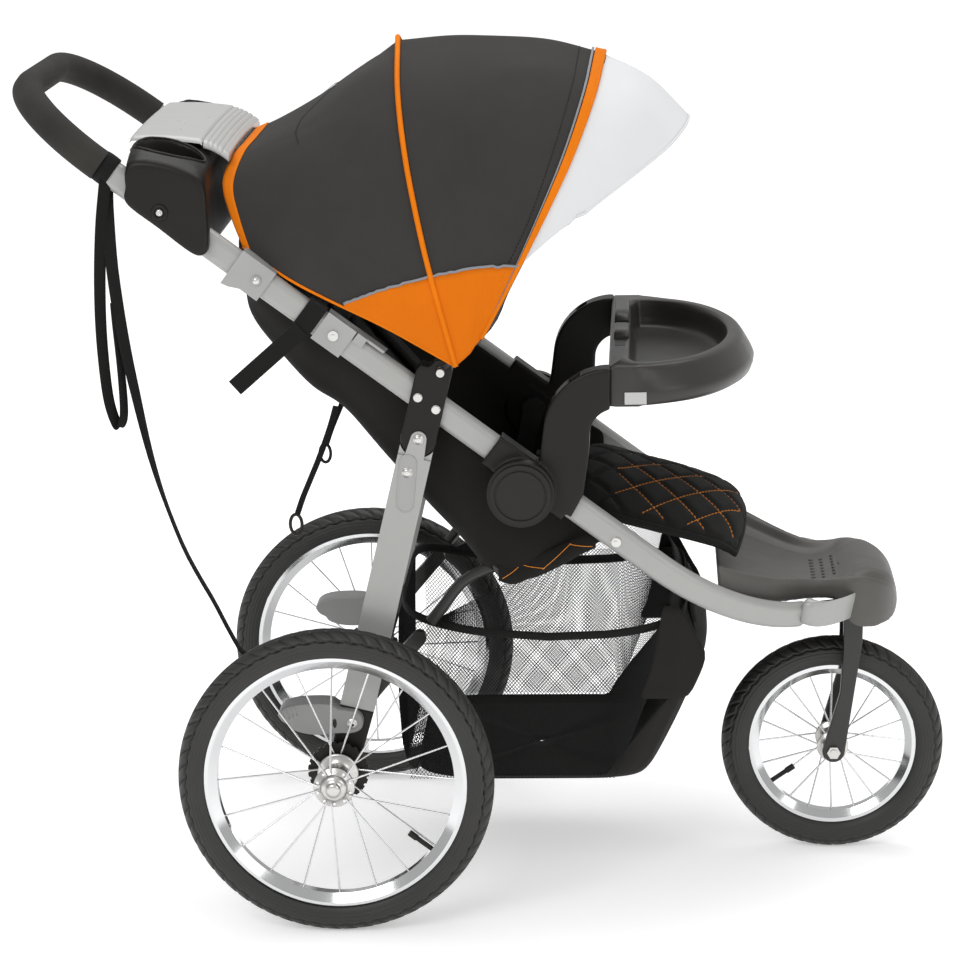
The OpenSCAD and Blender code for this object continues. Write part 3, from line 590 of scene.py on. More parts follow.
def creases(rows, places):
    """Soft folds, each (u, t, length, width, depth mm, turn) in the panel's own square."""
    n, m = len(rows), len(rows[0])
    for i in range(n):
        for j in range(m):
            u, t = i / (n - 1), j / (m - 1)
            d = 0
            for a, b, lu, wd, h, k in places:
                for tt in (t, 1 - t):
                    x, y = (u - a) * 0.36, (tt - b) * 1.1
                    p, q = x * math.cos(k) + y * math.sin(k), -x * math.sin(k) + y * math.cos(k)
                    q += 0.10 * math.sin(p * 30) * wd * 6
                    d += h * math.exp(-(p / lu) ** 2 - (q / wd) ** 2)
            e = min(1, u * 8, (1 - u) * 8)
            p = rows[i][j]
            rows[i][j] = p + Vector((0.1, p.y * 1.2, p.z - 0.86)).normalized() * d * e / 1000
    return rows


creases(rear_rows, [(0.35, 0.30, 0.11, 0.010, -3.2, 0.5), (0.55, 0.22, 0.12, 0.012, 2.6, 0.9),
    (0.30, 0.16, 0.10, 0.010, -3.0, 0.3), (0.62, 0.12, 0.09, 0.010, -2.6, 1.2),
    (0.25, 0.42, 0.10, 0.009, -2.6, 0.1),
                    (0.6, 0.44, 0.11, 0.008, 2.2, 0.05), (0.45, 0.47, 0.12, 0.007, -2.2, 0.0),
                    (0.78, 0.3, 0.08, 0.010, -2.0, 1.3), (0.5, 0.08, 0.07, 0.009, 2.2, 0.7)])
creases(front_rows, [(0.3, 0.16, 0.10, 0.010, -2.4, 0.9), (0.55, 0.26, 0.12, 0.012, 1.8, 1.2),
    (0.7, 0.12, 0.07, 0.009, -2.2, 0.6), (0.4, 0.42, 0.12, 0.009, -1.6, 0.05),
    (0.75, 0.40, 0.10, 0.009, 1.6, 0.3), (0.5, 0.05, 0.06, 0.008, 2.0, 1.0)])


def cloth_sheet(name, rows, mat, node, joint):
    """A canopy panel held by the bows."""
    o = thick(outward(subd(grid(name, rows, mat), 1), CANOPY_MID), 1.6, -1)
    span_joint(o, joint, "canopy_fabric", node)
    span(rows)


def area(rows):
    s = 0
    for a, b in zip(rows, rows[1:]):
        for i in range(len(a) - 1):
            s += ((a[i + 1] - a[i]).cross(b[i] - a[i])).length / 2
            s += ((b[i + 1] - b[i]).cross(b[i + 1] - a[i + 1])).length / 2
    return s


def span(rows):
    """Size of a sheet laid flat."""
    w = max(sum((q - p).length for p, q in zip(r, r[1:])) for r in rows)
    return w, area(rows) / w


REAR = ("frame", "canopy_mid", V(-60, 0, 850), V(120, 0, 850))
FRONT = ("canopy_mid", "canopy_front_bow", V(140, 0, 900), V(300, 0, 900))
cloth_sheet("canopy_back_cloth", rear_rows, M["charcoal"], "canopy_rear", REAR)
cloth_sheet("canopy_front_cloth", front_rows, M["charcoal"], "canopy_front", FRONT)


def offset_rows(rows, d):
    """Rows moved outwards along their own normals by d mm."""
    out = []
    n, m = len(rows), len(rows[0])
    for i in range(n):
        row = []
        for j in range(m):
            du = rows[min(i + 1, n - 1)][j] - rows[max(i - 1, 0)][j]
            dv = rows[i][min(j + 1, m - 1)] - rows[i][max(j - 1, 0)]
            k = dv.cross(du)
            c = rows[i][j]
            if k.length > 0:
                k.normalize()
                if k.dot(c - CANOPY_MID) < 0:
                    k = -k
            row.append(c + k * d / 1000)
        out.append(row)
    return out


def on_rows(rows, u, t):
    """Point on a surface of rows: u along the rows' order, t along a row."""
    x = u * (len(rows) - 1)
    y = t * (len(rows[0]) - 1)
    i, j = min(int(x), len(rows) - 2), min(int(y), len(rows[0]) - 2)
    fx, fy = x - i, y - j
    a = rows[i][j].lerp(rows[i][j + 1], fy)
    b = rows[i + 1][j].lerp(rows[i + 1][j + 1], fy)
    return a.lerp(b, fx)


PANEL_EDGE = [(-20, 776), (23, 799), (72, 816), (128, 831), (191, 842), (245, 842)]


def bound_z(x):
    for (x0, z0), (x1, z1) in zip(PANEL_EDGE, PANEL_EDGE[1:]):
        if x <= x1:
            w = max(0, (x - x0) / (x1 - x0))
            return z0 + (z1 - z0) * w
    return PANEL_EDGE[-1][1]


def bound_t(rows, u):
    t = 0.0
    while t < 0.4:
        p = on_rows(rows, u, t)
        if p.z * 1000 > bound_z((p.x - AXLE_X) * 1000):
            break
        t += 0.002
    return t


def orange_panel(rows, u0, side, name, joint):
    """The corner panel from u0 to the panel's front, with its piping."""
    out, rim = offset_rows(rows, 0.9), offset_rows(rows, 1.3)
    pr, edge = [], []
    for i in range(25):
        u = u0 + (1 - u0) * i / 24
        tb = bound_t(rows, u)
        pr.append([on_rows(out, u, tb * k / 12) for k in range(13)])
        edge.append(on_rows(rim, u, tb))
    if side > 0:
        pr = [[flip(p) for p in r] for r in pr]
        edge = [flip(p) for p in edge]
    span_joint(recalc(thick(grid(name, pr, M["orange"]), 1.0, 0)), joint, "canopy_fabric")
    span_joint(tube(name + "_piping", edge, 1.7, M["grey_pipe"], 8), joint, "canopy_fabric")


for side, tag in ((-1, "r"), (1, "l")):
    orange_panel(rear_rows, 0.56, side, "canopy_orange_back_" + tag, REAR)
    orange_panel(front_rows, 0.0, side, "canopy_orange_front_" + tag, FRONT)

# piping over the middle bow, wide binding on the rear hem and on the front edge
mid_line = offset_rows(front_rows, 2.0)[0]
place(tube("canopy_mid_piping", mid_line, 3.4, M["piping"], 10), "canopy_mid", "canopy_fabric")


def band(name, rows, i0, i1, mat, d, joint, t=1.2):
    """A strip of another cloth over the rows from share i0 to i1."""
    off = offset_rows(rows, d)
    sel = [[on_rows(off, i0 + (i1 - i0) * k / 4, j / 80) for j in range(81)] for k in range(5)]
    span_joint(recalc(thick(grid(name, sel, mat), t, 0)), joint, "canopy_fabric")


band("canopy_hem_back", rear_rows, 0.0, 0.055, M["piping"], 1.0, REAR)
band("canopy_edge_front", front_rows, 0.952, 1.0, M["piping"], 1.6, FRONT, 2.0)
band("canopy_edge_grey", front_rows, 0.934, 0.946, M["grey_pipe"], 1.4, FRONT)
roll = tube("canopy_edge_roll", offset_rows(front_rows, 0.6)[-1], 2.6, M["piping"], 10)
place(roll, "canopy_front_bow", "canopy_fabric")
inner = offset_rows(front_rows, -6.5)
for node, row, body, fy in (("mid_bow", inner[0], "canopy_mid", 233.0),
        ("front_bow", inner[-1], "canopy_front_bow", 235.0)):
    pts = catmull([V(143, -fy, 716)] + row[1::3][:-1] + [row[-2]] + [V(143, fy, 716)], 4)
    b = tube(node + "_tube", pts, (4.5, 4.5), M["black_paint"], 12)
    disc = [lathe("f", [(0, -2), (5.5, -2), (6, -1.5), (6, 1.5), (5.5, 2), (0, 2)], M["black_paint"], 32)
        for _ in range(2)]
    for d, sg in zip(disc, (-1, 1)):
        for v in d.data.vertices:
            v.co += V(143, sg * fy, 716)
    place(join(node + "_tube", [b] + disc), body, "black_steel", node)


def canopy_seam(name, rows, line, joint):
    """A row of dark stitching through (u, t) points of a panel."""
    off = offset_rows(rows, 0.5)
    W, L = 250.0, 1100.0

    def f(x, y, lift):
        p = on_rows(off, min(max(x / W, 0), 0.999), min(max(y / L, 0), 0.999))
        return p + (p - CANOPY_MID).normalized() * lift / 1000
    pts = [(p.x, p.y) for p in catmull([Vector((u * W, t * L, 0)) for u, t in line], 10)]
    span_joint(stitches(name, f, [pts], M["seam"], 3.2, 2.6, 0.34), joint, "canopy_fabric")


SEAM_BACK = [(0.40, 0.47), (0.34, 0.43), (0.28, 0.37), (0.30, 0.31), (0.36, 0.26)]
SEAM_FRONT = [(0.87, 0.49), (0.87, 0.38), (0.865, 0.26), (0.86, 0.16), (0.78, 0.085)]
for side, tag in ((-1, "r"), (1, "l")):
    for name, rows, line, joint in (("back", rear_rows, SEAM_BACK, REAR),
            ("front", front_rows, SEAM_FRONT, FRONT)):
        canopy_seam("seam_" + name + "_" + tag, rows, [(u, t if side < 0 else 1 - t) for u, t in line], joint)

# lower hem along the tube
for side, tag in ((-1, "r"), (1, "l")):
    e = [flip(r[0]) if side > 0 else r[0] for r in rear_rows]
    span_joint(tube("canopy_low_hem_" + tag, e, 1.8, M["piping"], 8), REAR, "canopy_fabric")

# visor
VISOR_EDGE = [(252, 862, 212), (308, 893, 190), (371, 933, 150), (425, 968, 96), (449, 988, 40), (454, 995, 0)]
visor_root, visor_edge = rib(RF), rib(VISOR_EDGE)
arc = [Vector((0.004, 0, 0.010)) * math.sin(math.pi * j / (len(visor_root) - 1))
    for j in range(len(visor_root))]
visor_mid = [p.lerp(q, 0.5) + d for p, q, d in zip(visor_root, visor_edge, arc)]
CUT = 6  # points left off at each end, where the visor stops short of the hem
visor_rows = [r[CUT:len(r) - CUT] for r in offset_rows(smooth_rows([visor_root, visor_mid, visor_edge], 8),
    -2.2)]
VISOR = ("canopy_front_bow", "visor_panel", V(290, 0, 980), V(350, 0, 940))
o = thick(subd(grid("visor_cloth", visor_rows, M["visor"]), 1), 1.4, -1)
span_joint(o, VISOR, "visor_fabric", "visor")
span(visor_rows)
span_joint(tube("visor_hem", visor_rows[-1], 2.0, M["visor"], 8), VISOR, "visor_fabric")

# ------------------------------------------------------------ seat shell
# each station: x and z on the tube line (top), then x, z of the bottom corner, half widths, belly sag
SEAT = [
    ((-104, 886), (-104, 812), 198, 150, 0), ((-86, 850), (-98, 775), 201, 156, 3),
    ((-55, 822), (-71, 736), 203, 160, 6),
    ((-20, 795), (-27, 686), 204, 163, 9), ((22, 762), (15, 657), 204, 165, 10),
    ((70, 725), (61, 602), 204, 166, 11),
    ((118, 688), (112, 540), 204, 167, 12), ((160, 655), (160, 492), 205, 186, 12),
    ((196, 628), (196, 452), 206, 200, 9),
    ((240, 595), (240, 438), 206, 200, 8), ((282, 562), (286, 452), 200, 186, 8),
    ((335, 530), (336, 478), 196, 168, 6),
]
keys = []
for (tx, tz), (bx, bz), wt, wb, sag in SEAT:
    row = [V(tx, -wt, tz), V(tx * 0.8 + bx * 0.2, -wt + 1, tz * 0.8 + bz * 0.2),
        V(tx * 0.5 + bx * 0.5, -(wt + wb) / 2 - 7, (tz + bz) / 2),
        V(tx * 0.2 + bx * 0.8, -wb - 9, tz * 0.2 + bz * 0.8), V(bx, -wb + 6, bz - sag * 0.2),
        V(bx, -wb * 0.55, bz - sag * 0.8), V(bx, 0, bz - sag)]
    keys.append(row + [flip(p) for p in row[-2::-1]])
keys = [resample(catmull(r, 6), 49) for r in keys]
seat_rows = smooth_rows(keys, 5)
for i, r in enumerate(seat_rows):
    for j, p in enumerate(r):
        u, v = i / (len(seat_rows) - 1), j / (len(r) - 1)
        k = math.sin(u * 23 + math.sin(v * 9) * 2) * math.sin(v * math.pi) * 0.9 + math.sin(u * 11
            + v * 7) * 0.8
        r[j] = p + Vector((0, (-1 if p.y < 0 else 1) * k / 1000, 0))
o = thick(subd(grid("seat_shell", seat_rows, M["black"]), 1), 2.4, 1)
place(o, "frame", "black_fabric", "seat_tub")
span(seat_rows)

# ------------------------------------------------------------ pads


def pad_form(path, width, t, quilt=None, crown=0.0, nu=70, nv=90, edge=0.12):
    """Top and bottom rows of a pad along path, crowned across and thinning to its rim.

    quilt(s, y) gives the depth of the sewn lines in mm."""
    rows_t, rows_b = [], []
    pts = resample(path, nu)
    L = sum((b - a).length for a, b in zip(path, path[1:])) * 1000
    for i, p in enumerate(pts):
        d = (pts[min(i + 1, nu - 1)] - pts[max(i - 1, 0)]).normalized()
        n = Vector((-d.z, 0, d.x))
        if n.z < 0:
            n = -n
        u = i / (nu - 1)
        hw = width(u)
        rt, rb = [], []
        for j in range(nv):
            v = j / (nv - 1) * 2 - 1
            y = v * hw
            eu = min(u, 1 - u) / edge
            ev = (1 - abs(v)) / edge
            f = 1
            for e in (eu, ev):
                f *= math.sqrt(max(0.0, 1 - max(0, 1 - min(1, e)) ** 2.4))
            drop = crown * abs(v) ** 2.2
            q = quilt(u * L, y) if quilt else 0
            c = p + Vector((0, y / 1000, 0)) - n * drop / 1000
            rt.append(c + n * (t * 0.5 * f - q * f) / 1000)
            rb.append(c - n * (t * 0.5 * f) / 1000)
        rows_t.append(rt)
        rows_b.append(rb)
    return rows_t, rows_b


def closed_pad(name, rows_t, rows_b, mat):
    """A closed mesh between top and bottom rows."""
    n, m = len(rows_t), len(rows_t[0])
    verts = [p for r in rows_t for p in r] + [p for r in rows_b for p in r]
    k = n * m
    faces = []
    for i in range(n - 1):
        for j in range(m - 1):
            a = i * m + j
            faces.append((a, a + 1, a + m + 1, a + m))
            faces.append((k + a + m, k + a + m + 1, k + a + 1, k + a))
    for i in range(n - 1):
        for j, s in ((0, 1), (m - 1, -1)):
            a, b = i * m + j, (i + 1) * m + j
            faces.append((a, b, k + b, k + a)[::s])
    for j in range(m - 1):
        for i, s in ((0, -1), (n - 1, 1)):
            a, b = i * m + j, i * m + j + 1
            faces.append((a, b, k + b, k + a)[::s])
    return recalc(obj(name, verts, faces, mat))


def cloth_swell(o, cap, pressure=4.0, voxel=5.0):
    """Remesh, inflate with a short cloth run, cap the movement and apply."""
    apply_mods(mod(o, "REMESH", mode="VOXEL", voxel_size=voxel / 1000))
    rest = [v.co.copy() for v in o.data.vertices]
    m = o.modifiers.new("cloth", "CLOTH")
    s = m.settings
    s.quality = 6
    s.mass = 0.3
    s.use_pressure = True
    s.uniform_pressure_force = pressure
    s.tension_stiffness = s.compression_stiffness = 20
    s.shear_stiffness = 10
    s.bending_stiffness = 0.8
    s.effector_weights.gravity = 0
    m.collision_settings.use_collision = False
    sc = bpy.context.scene
    frames = 20
    sc.frame_start, sc.frame_end = 1, frames
    m.point_cache.frame_start, m.point_cache.frame_end = 1, frames
    for f in range(1, frames + 1):
        sc.frame_set(f)
    apply_mods(o)
    sc.frame_set(1)
    for v, r in zip(o.data.vertices, rest):
        d = v.co - r
        if d.length > cap / 1000:
            v.co = r + d * (cap / 1000 / d.length)
    subd(o, 1)
    o.data.polygons.foreach_set("use_smooth", [True] * len(o.data.polygons))
    return o


def diamond(p, q, s, y, w, depth):
    """Depth of sewn lines of a diamond pattern, pitches p along and q across."""
    best = 1e9
    for k in (s / p + y / q, s / p - y / q):
        d = abs(k - round(k)) * p * q / math.hypot(p, q)
        best = min(best, d)
    return depth * math.exp(-(best / w) ** 2)


def pad_point(rows, L, hw):
    """A function for the point at s along and y across on a pad's top rows."""
    def f(s, y, lift=0.0):
        u = min(max(s / L, 0), 1)
        v = (y / hw(u) + 1) / 2
        p = on_rows(rows, u, v)
        e = 0.004
        a = on_rows(rows, min(u + e, 1), v) - on_rows(rows, max(u - e, 0), v)
        b = on_rows(rows, u, min(v + e, 1)) - on_rows(rows, u, max(v - e, 0))
        n = a.cross(b)
        if n.z < 0:
            n = -n
        return p + n.normalized() * lift / 1000
    return f


# seat and calf pad
calf = catmull([V(214, 0, 494), V(260, 0, 520), V(330, 0, 536), V(376, 0, 525), V(420, 0, 513),
    V(464, 0, 500), V(500, 0, 486), V(522, 0, 468)], 8)
CALF_LEN = sum((b - a).length for a, b in zip(calf, calf[1:])) * 1000


def calf_w(u):
    """Half width of the seat and calf pad at share u of its length."""
    return 158 if u < 0.6 else 158 - 22 * ((u - 0.6) / 0.4) ** 2.2


PITCH_ALONG, PITCH_ACROSS = 58.0, 84.0  # pitch of the quilting, along and across
calf_top, calf_low = pad_form(calf, calf_w, 20,
    lambda s, y: diamond(PITCH_ALONG, PITCH_ACROSS, s, y, 4.5, 4.2), crown=24,
    nu=120, nv=110, edge=0.06)
seat_pad = closed_pad("seat_and_calf_pad", calf_top, calf_low, M["pad"])
place(seat_pad, "frame", "black_fabric", "seat_pad")
on_calf = pad_point(calf_top, CALF_LEN, calf_w)


def calf_lines():
    """The stitch lines of the quilting."""
    out = []
    for sgn in (1, -1):
        for k in range(-4, 14):
            line = []
            for i in range(121):
                y = -146 + 292 * i / 120
                s = (k - sgn * y / PITCH_ACROSS) * PITCH_ALONG
                if 150 < s < CALF_LEN - 12 and abs(y) < calf_w(s / CALF_LEN) - 10:
                    line.append((s, y))
                elif len(line) > 6:
                    out.append(line)
                    line = []
                else:
                    line = []
            if len(line) > 6:
                out.append(line)
    return out


place(stitches("pad_stitching", on_calf, calf_lines(), M["thread"]), "frame", "black_fabric")
rim = [on_calf(s, -calf_w(s / CALF_LEN)) for s in [CALF_LEN * i / 60 for i in range(61)]]
rim2 = [on_calf(CALF_LEN, -calf_w(1) + 2 * calf_w(1) * i / 30) for i in range(1, 30)]
rim3 = [flip(p) for p in rim[::-1]]
place(tube("pad_binding", rim + rim2 + rim3, (4.2, 3.4), M["web"], 10), "frame", "webbing")

# backrest pad, drawn along the back from the seat hinge upwards
lean = math.radians(130)
back_up = Vector((math.cos(lean), 0, math.sin(lean)))
back_foot = V(190, 0, 500)
back = [back_foot + back_up * s / 1000 for s in (6, 80, 160, 240, 320, 394)]


def channel_depth(s, y):
    """Depth of the backrest's sewn channels."""
    q = 3.2 * math.exp(-(((s + 20) % 78 - 39) / 5) ** 2)
    return q + 3.0 * math.exp(-((abs(y) - 96) / 5) ** 2)


back_top, back_low = pad_form(back, lambda u: 146 - 6 * u, 24, nu=60, nv=50, edge=0.16)
backrest = closed_pad("backrest_pad", back_top, back_low, M["black"])
cloth_swell(backrest, cap=5.0)
back_out = Vector((-back_up.z, 0, back_up.x))
if back_out.x < 0:
    back_out = -back_out
for v in backrest.data.vertices:
    rel = v.co - back_foot
    s, h = rel.dot(back_up) * 1000, rel.dot(back_out) * 1000
    if h > 3:
        v.co -= back_out * channel_depth(s, v.co.y * 1000) / 1000
place(backrest, "back_pad", "black_fabric", "backrest")

# harness: shoulder straps and pads on the back, kept clear of the panel
for side, tag in ((-1, "r"), (1, "l")):
    def on_back(line):
        """Points from (along the back, out from it, across it)."""
        return catmull([back_foot + back_up * s / 1000 + back_out * h / 1000 + Vector((0, side * y / 1000, 0))
            for s, h, y in line], 6)

    line = on_back(((330, 17, 52), (250, 19, 54), (170, 20, 54), (100, 22, 46), (62, 26, 30)))
    place(ribbon("shoulder_strap_" + tag, line, 24, 2.0, M["web"]), "back_pad", "webbing")
    line = on_back(((300, 23, 53), (240, 25, 54), (180, 26, 54)))
    r = place(ribbon("shoulder_pad_" + tag, line, 46, 9, M["pad"]), "back_pad", "black_fabric")

# ------------------------------------------------------------ basket


def bk_ring(z):
    """x of the rear and front walls, half width and corner radius at height z."""
    zs = [152, 160, 175, 200, 260, 325, 372, 400]
    x0 = [112, 92, 80, 74, 71, 72, 74, 78]
    x1 = [392, 400, 408, 420, 448, 474, 446, 428]
    w = [150, 160, 166, 170, 173, 174, 173, 172]

    def f(a):
        for i in range(len(zs) - 1):
            if z <= zs[i + 1]:
                t = max(0, (z - zs[i]) / (zs[i + 1] - zs[i]))
                return a[i] + (a[i + 1] - a[i]) * t
        return a[-1]
    return f(x0), f(x1), f(w)


def bk_point(k, z, n):
    """Point k of n round the bag at height z, starting at the right rear corner."""
    x0, x1, w = bk_ring(z)
    a = 2 * math.pi * k / n
    cx, hx = (x0 + x1) / 2, (x1 - x0) / 2
    e = 0.32
    ca, sa = math.cos(a), math.sin(a)
    x = cx + hx * math.copysign(abs(ca) ** e, ca)
    y = w * math.copysign(abs(sa) ** e, sa)
    return V(x, y, z)


def hem_z(x):
    """Height of the bag's hem."""
    return 352 + 17 * ((x - 285) / 155) ** 2


def solid_top(x):
    """Height where the bag's solid cloth ends and its net begins."""
    return max(160, 150 + (x - 347) * 2.62 + max(0, x - 399) * 1.4)


BAG_N = 120  # points round the bag
lower = []
for zf in (0.0, 0.03, 0.07, 0.13, 0.25, 0.4, 0.6, 0.8, 1.0):
    ring = []
    for k in range(BAG_N):
        p = bk_point(k, 200, BAG_N)
        z = 152 + (solid_top((p.x - AXLE_X) * 1000) - 152) * zf
        q = bk_point(k, z, BAG_N)
        sag = 2.5 * math.sin(k * 0.9) * math.sin(zf * 3.1) + 1.5 * math.sin(k * 0.37 + zf * 8)
        d = Vector((q.x - V(250, 0, 0).x, q.y, 0)).normalized()
        ring.append(q + d * sag * 0.35 / 1000)
    lower.append(ring)
floor_rings = []
for f in (0.02, 0.3, 0.6, 0.85, 0.96):
    floor_rings.append([V(250, 0, 153 - 3 * (1 - f)).lerp(p, f)
        + Vector((0, 0, -0.002 * math.sin(f * 3.1) * (1 + math.sin(k * 0.21))))
        for k, p in enumerate(lower[0])])
low = thick(subd(grid("basket_panel", floor_rings + lower, M["black_tight"], cv=True), 1), 1.4, 0)
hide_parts("basket")


def to_basket(o):
    """Puts a piece of the bag, with a mesh of its own, on the frame."""
    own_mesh(o)
    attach(o, "frame")
    return o


def net(name, surf, nu, nv, r=0.36):
    """A net of crossing cords on surf(u, v), u and v from 0 to 1; real strands, diamond openings."""
    verts, faces = [], []
    P = {}

    def vert(i, j):
        if (i, j) not in P:
            u, v = min(max(i / nu, 0), 1), min(max(j / nv, 0), 1)
            p = surf(u, v)
            a = surf(min(u + 0.01, 1), v) - surf(max(u - 0.01, 0), v)
            b = surf(u, min(v + 0.01, 1)) - surf(u, max(v - 0.01, 0))
            P[(i, j)] = (p, a.normalized(), b.normalized())
        return P[(i, j)]
    R = r / 1000
    for i in range(0, nu + 1):
        for j in range(0, nv + 1):
            if (i + j) % 2:
                continue
            for di in (1, -1):
                if 0 <= i + di <= nu and j + 1 <= nv:
                    p, a, b = vert(i, j)
                    q = vert(i + di, j + 1)[0]
                    d = q - p
                    if d.length < 1e-6:
                        continue
                    d.normalize()
                    n = a.cross(b).normalized()
                    s = d.cross(n) * R
                    n = n * R
                    base = len(verts)
                    for c in (p, q):
                        verts += [c + s, c + n, c - s, c - n]
                    for k in range(4):
                        faces.append((base + k, base + (k + 1) % 4, base + 4 + (k + 1) % 4, base + 4 + k))
    return obj(name, verts, faces, M["net"])


to_basket(low)
hem_pts = []
for k in range(BAG_N):
    p = bk_point(k, 340, BAG_N)
    x = (p.x - AXLE_X) * 1000
    hem_pts.append(bk_point(k, hem_z(x), BAG_N))
hem = tube("basket_hem", hem_pts, (6.0, 2.2), M["web"], 10, closed=True)
to_basket(hem)
top_edge = tube("basket_panel_edge", lower[-1], (2.4, 1.6), M["web"], 8, closed=True)
to_basket(top_edge)


def side_net(side):
    """The net in the bag's side."""
    def s(u, v):
        x = 84 + (432 - 84) * u
        z = solid_top(x) + (hem_z(x) - solid_top(x)) * v
        return V(x, side * (173 - 1.5 * math.sin(u * 3.1) * math.sin(v * 3.1)), z)
    return s


def up_net(side):
    """The second net of the bag's side."""
    def s(u, v):
        x = 118 + (420 - 118) * u
        z0 = hem_z(x)
        top = 370 + (x - 118) * 0.52 if x < 300 else (465 if x < 360 else 465 - (x - 360) * 0.75)
        z = z0 + (max(top, z0 + 4) - z0) * v
        y = 172 - 12 * v
        return V(x, side * y, z)
    return s


for side, tag in ((-1, "r"), (1, "l")):
    to_basket(net("basket_net_" + tag, side_net(side), 150, 72))
    to_basket(net("basket_flap_net_" + tag, up_net(side), 130, 48))


def back_net(u, v):
    """The net in the bag's rear wall."""
    z = 160 + 218 * v
    return V(bk_ring(z)[0], -150 + 300 * u, z)


to_basket(net("basket_net_back", back_net, 130, 80))
fp = [[V(bk_ring(z)[1] - 3 * (abs(y) / 150) ** 3 * 3, y, z) for y in range(-165, 166, 15)]
    for z in (270, 290, 310, 325, 340, 356, 372, 386, 398)]
fp = thick(subd(grid("basket_front_panel", fp, M["black_tight"]), 1), 1.4, 0)
to_basket(fp)
for side, tag in ((-1, "r"), (1, "l")):
    sp = [[V(x, side * (173.5 - (4 if x > 440 else 0)), z) for x in xs] for z, xs in (
        (268, (380, 392, 404, 416, 430, 446)), (290, (392, 402, 412, 424, 438, 456)),
        (310, (398, 408, 420, 432, 446, 465)),
        (330, (402, 412, 424, 436, 450, 470)), (350, (406, 415, 425, 436, 446, 456)),
        (370, (410, 417, 425, 433, 440, 446)), (392, (413, 418, 422, 427, 431, 434)))]
    o = thick(subd(grid("basket_corner_" + tag, sp, M["black_tight"]), 1), 1.4, 0)
    to_basket(o)

# ------------------------------------------------------------ tyres


def tyre(name, node, body, c, r, w, rim_r, waves):
    """A tyre of outer radius r and half width w with moulded grooves and scalloped shoulders."""
    rc = r - w
    lim = math.acos(max(-1, (rim_r + 0.4 - rc) / w))
    prof = []
    for i in range(111):
        phi = -lim + 2 * lim * i / 110
        prof.append((rc + w * math.cos(phi), w * math.sin(phi), phi))
    back = [lim * 0.9 * (1 - 2 * i / 12) for i in range(13)]
    inner = [(rc + (w - 4.5) * math.cos(p), (w - 4.5) * math.sin(p), None) for p in back]
    inner = [(rim_r + 0.5, 13.4, None)] + inner + [(rim_r + 0.5, -13.4, None)]
    n = 480
    rows = []
    for k in range(n):
        th = 2 * math.pi * k / n
        row = []
        for rr, h, phi in prof + inner:
            d = 0
            if phi is not None:
                a = abs(math.degrees(phi))
                sg = 1 if phi > 0 else -1
                wv = math.sin(waves * th + (0 if sg > 0 else math.pi / waves))
                edge = 58 + 7 * abs(wv)
                d -= 3.0 * math.exp(-((a - edge) / 2.6) ** 2)
                if 12 < a < edge:
                    x = (waves * 2 * th / (2 * math.pi) + a / 60.0) % 1.0
                    d -= 3.0 * math.exp(-((x - 0.5) / 0.09) ** 2)
                for deep, at, wide in ((1.6, 12, 2.6), (0.9, 80, 1.6), (0.8, 92, 1.6), (0.8, 104, 1.6)):
                    d -= deep * math.exp(-((a - at) / wide) ** 2)
            f = (w + d) / w
            if phi is not None:
                rr, h = rc + (rr - rc) * f, h * f
            row.append(Vector((rr / 1000 * math.cos(th), h / 1000, rr / 1000 * math.sin(th))) + c)
        rows.append(row)
    place(recalc(grid(name, rows, M["tyre"], cu=True, cv=True)), body, "tyre_rubber", node)


def centre(node):
    """Middle of a CAD node's box."""
    a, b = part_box(node)
    return (a + b) / 2


tyre("tyre_rear_l", "rear_tyre_l", "wheel_l", centre("rear_tyre_l"), 200, 21, 166, 30)
tyre("tyre_rear_r", "rear_tyre_r", "wheel_r", centre("rear_tyre_r"), 200, 21, 166, 30)
tyre("tyre_front", "front_tyre", "wheel_front", centre("front_tyre"), 148, 21, 111, 24)


def valve(name, c, r, ang, body):
    """A tyre valve with its cap."""
    a = math.radians(ang)
    d = Vector((math.cos(a), 0, math.sin(a)))
    for part, thick_r, at in (("", 3.2, (0, 4, 12, 22, 30)), ("_cap", 4.2, (24, 26, 34, 36))):
        pts = [c + d * (r - s) / 1000 for s in at]
        place(tube(name + part, pts, thick_r, M["cap"], 12), body, "dark_plastic")


valve("valve_rear_r", centre("rear_rim_r"), 151, -38, "wheel_r")
valve("valve_rear_l", centre("rear_rim_l"), 151, -38, "wheel_l")
valve("valve_front", centre("front_rim"), 98, 215, "wheel_front")

# ------------------------------------------------------------ mouldings
for tag in "lr":
    soften("arm_" + tag, "tray_arm_" + tag, "frame", M["plastic"], 1.9, 4)
soften("fork", "fork_body", "fork_assembly", M["black_paint"], 1.3, 4)
soften("axle_brackets", "axle_lugs", "legs", M["plastic"], 1.8, 5)
for tag in "lr":
    soften("leg_bracket_" + tag, "leg_clamp_" + tag, "frame", M["plastic"], 1.5, 4)

# ------------------------------------------------------------ console


def loft(name, rings, mat):
    """Closed rings joined in order and capped at both ends."""
    return recalc(cap_ends(grid(name, rings, mat, cv=True), len(rings), len(rings[0])))


def cut(o, *tools):
    """Cuts the tools out of o."""
    for t in tools:
        mod(o, "BOOLEAN", operation="DIFFERENCE", object=t, solver="EXACT")
        apply_mods(o)
        bpy.data.objects.remove(t)
    return o


def drum(name, c, rx, ry, z0, z1, mat, n=64):
    """An upright oval cylinder."""
    return loft(name, [[V(c[0] + rx * math.cos(a), c[1] + ry * math.sin(a), z) for a in turn(n)]
        for z in (z0, z1)], mat)


def tree(o):
    """A search tree of o's faces."""
    return BVHTree.FromPolygons([v.co.copy() for v in o.data.vertices],
        [tuple(f.vertices) for f in o.data.polygons])


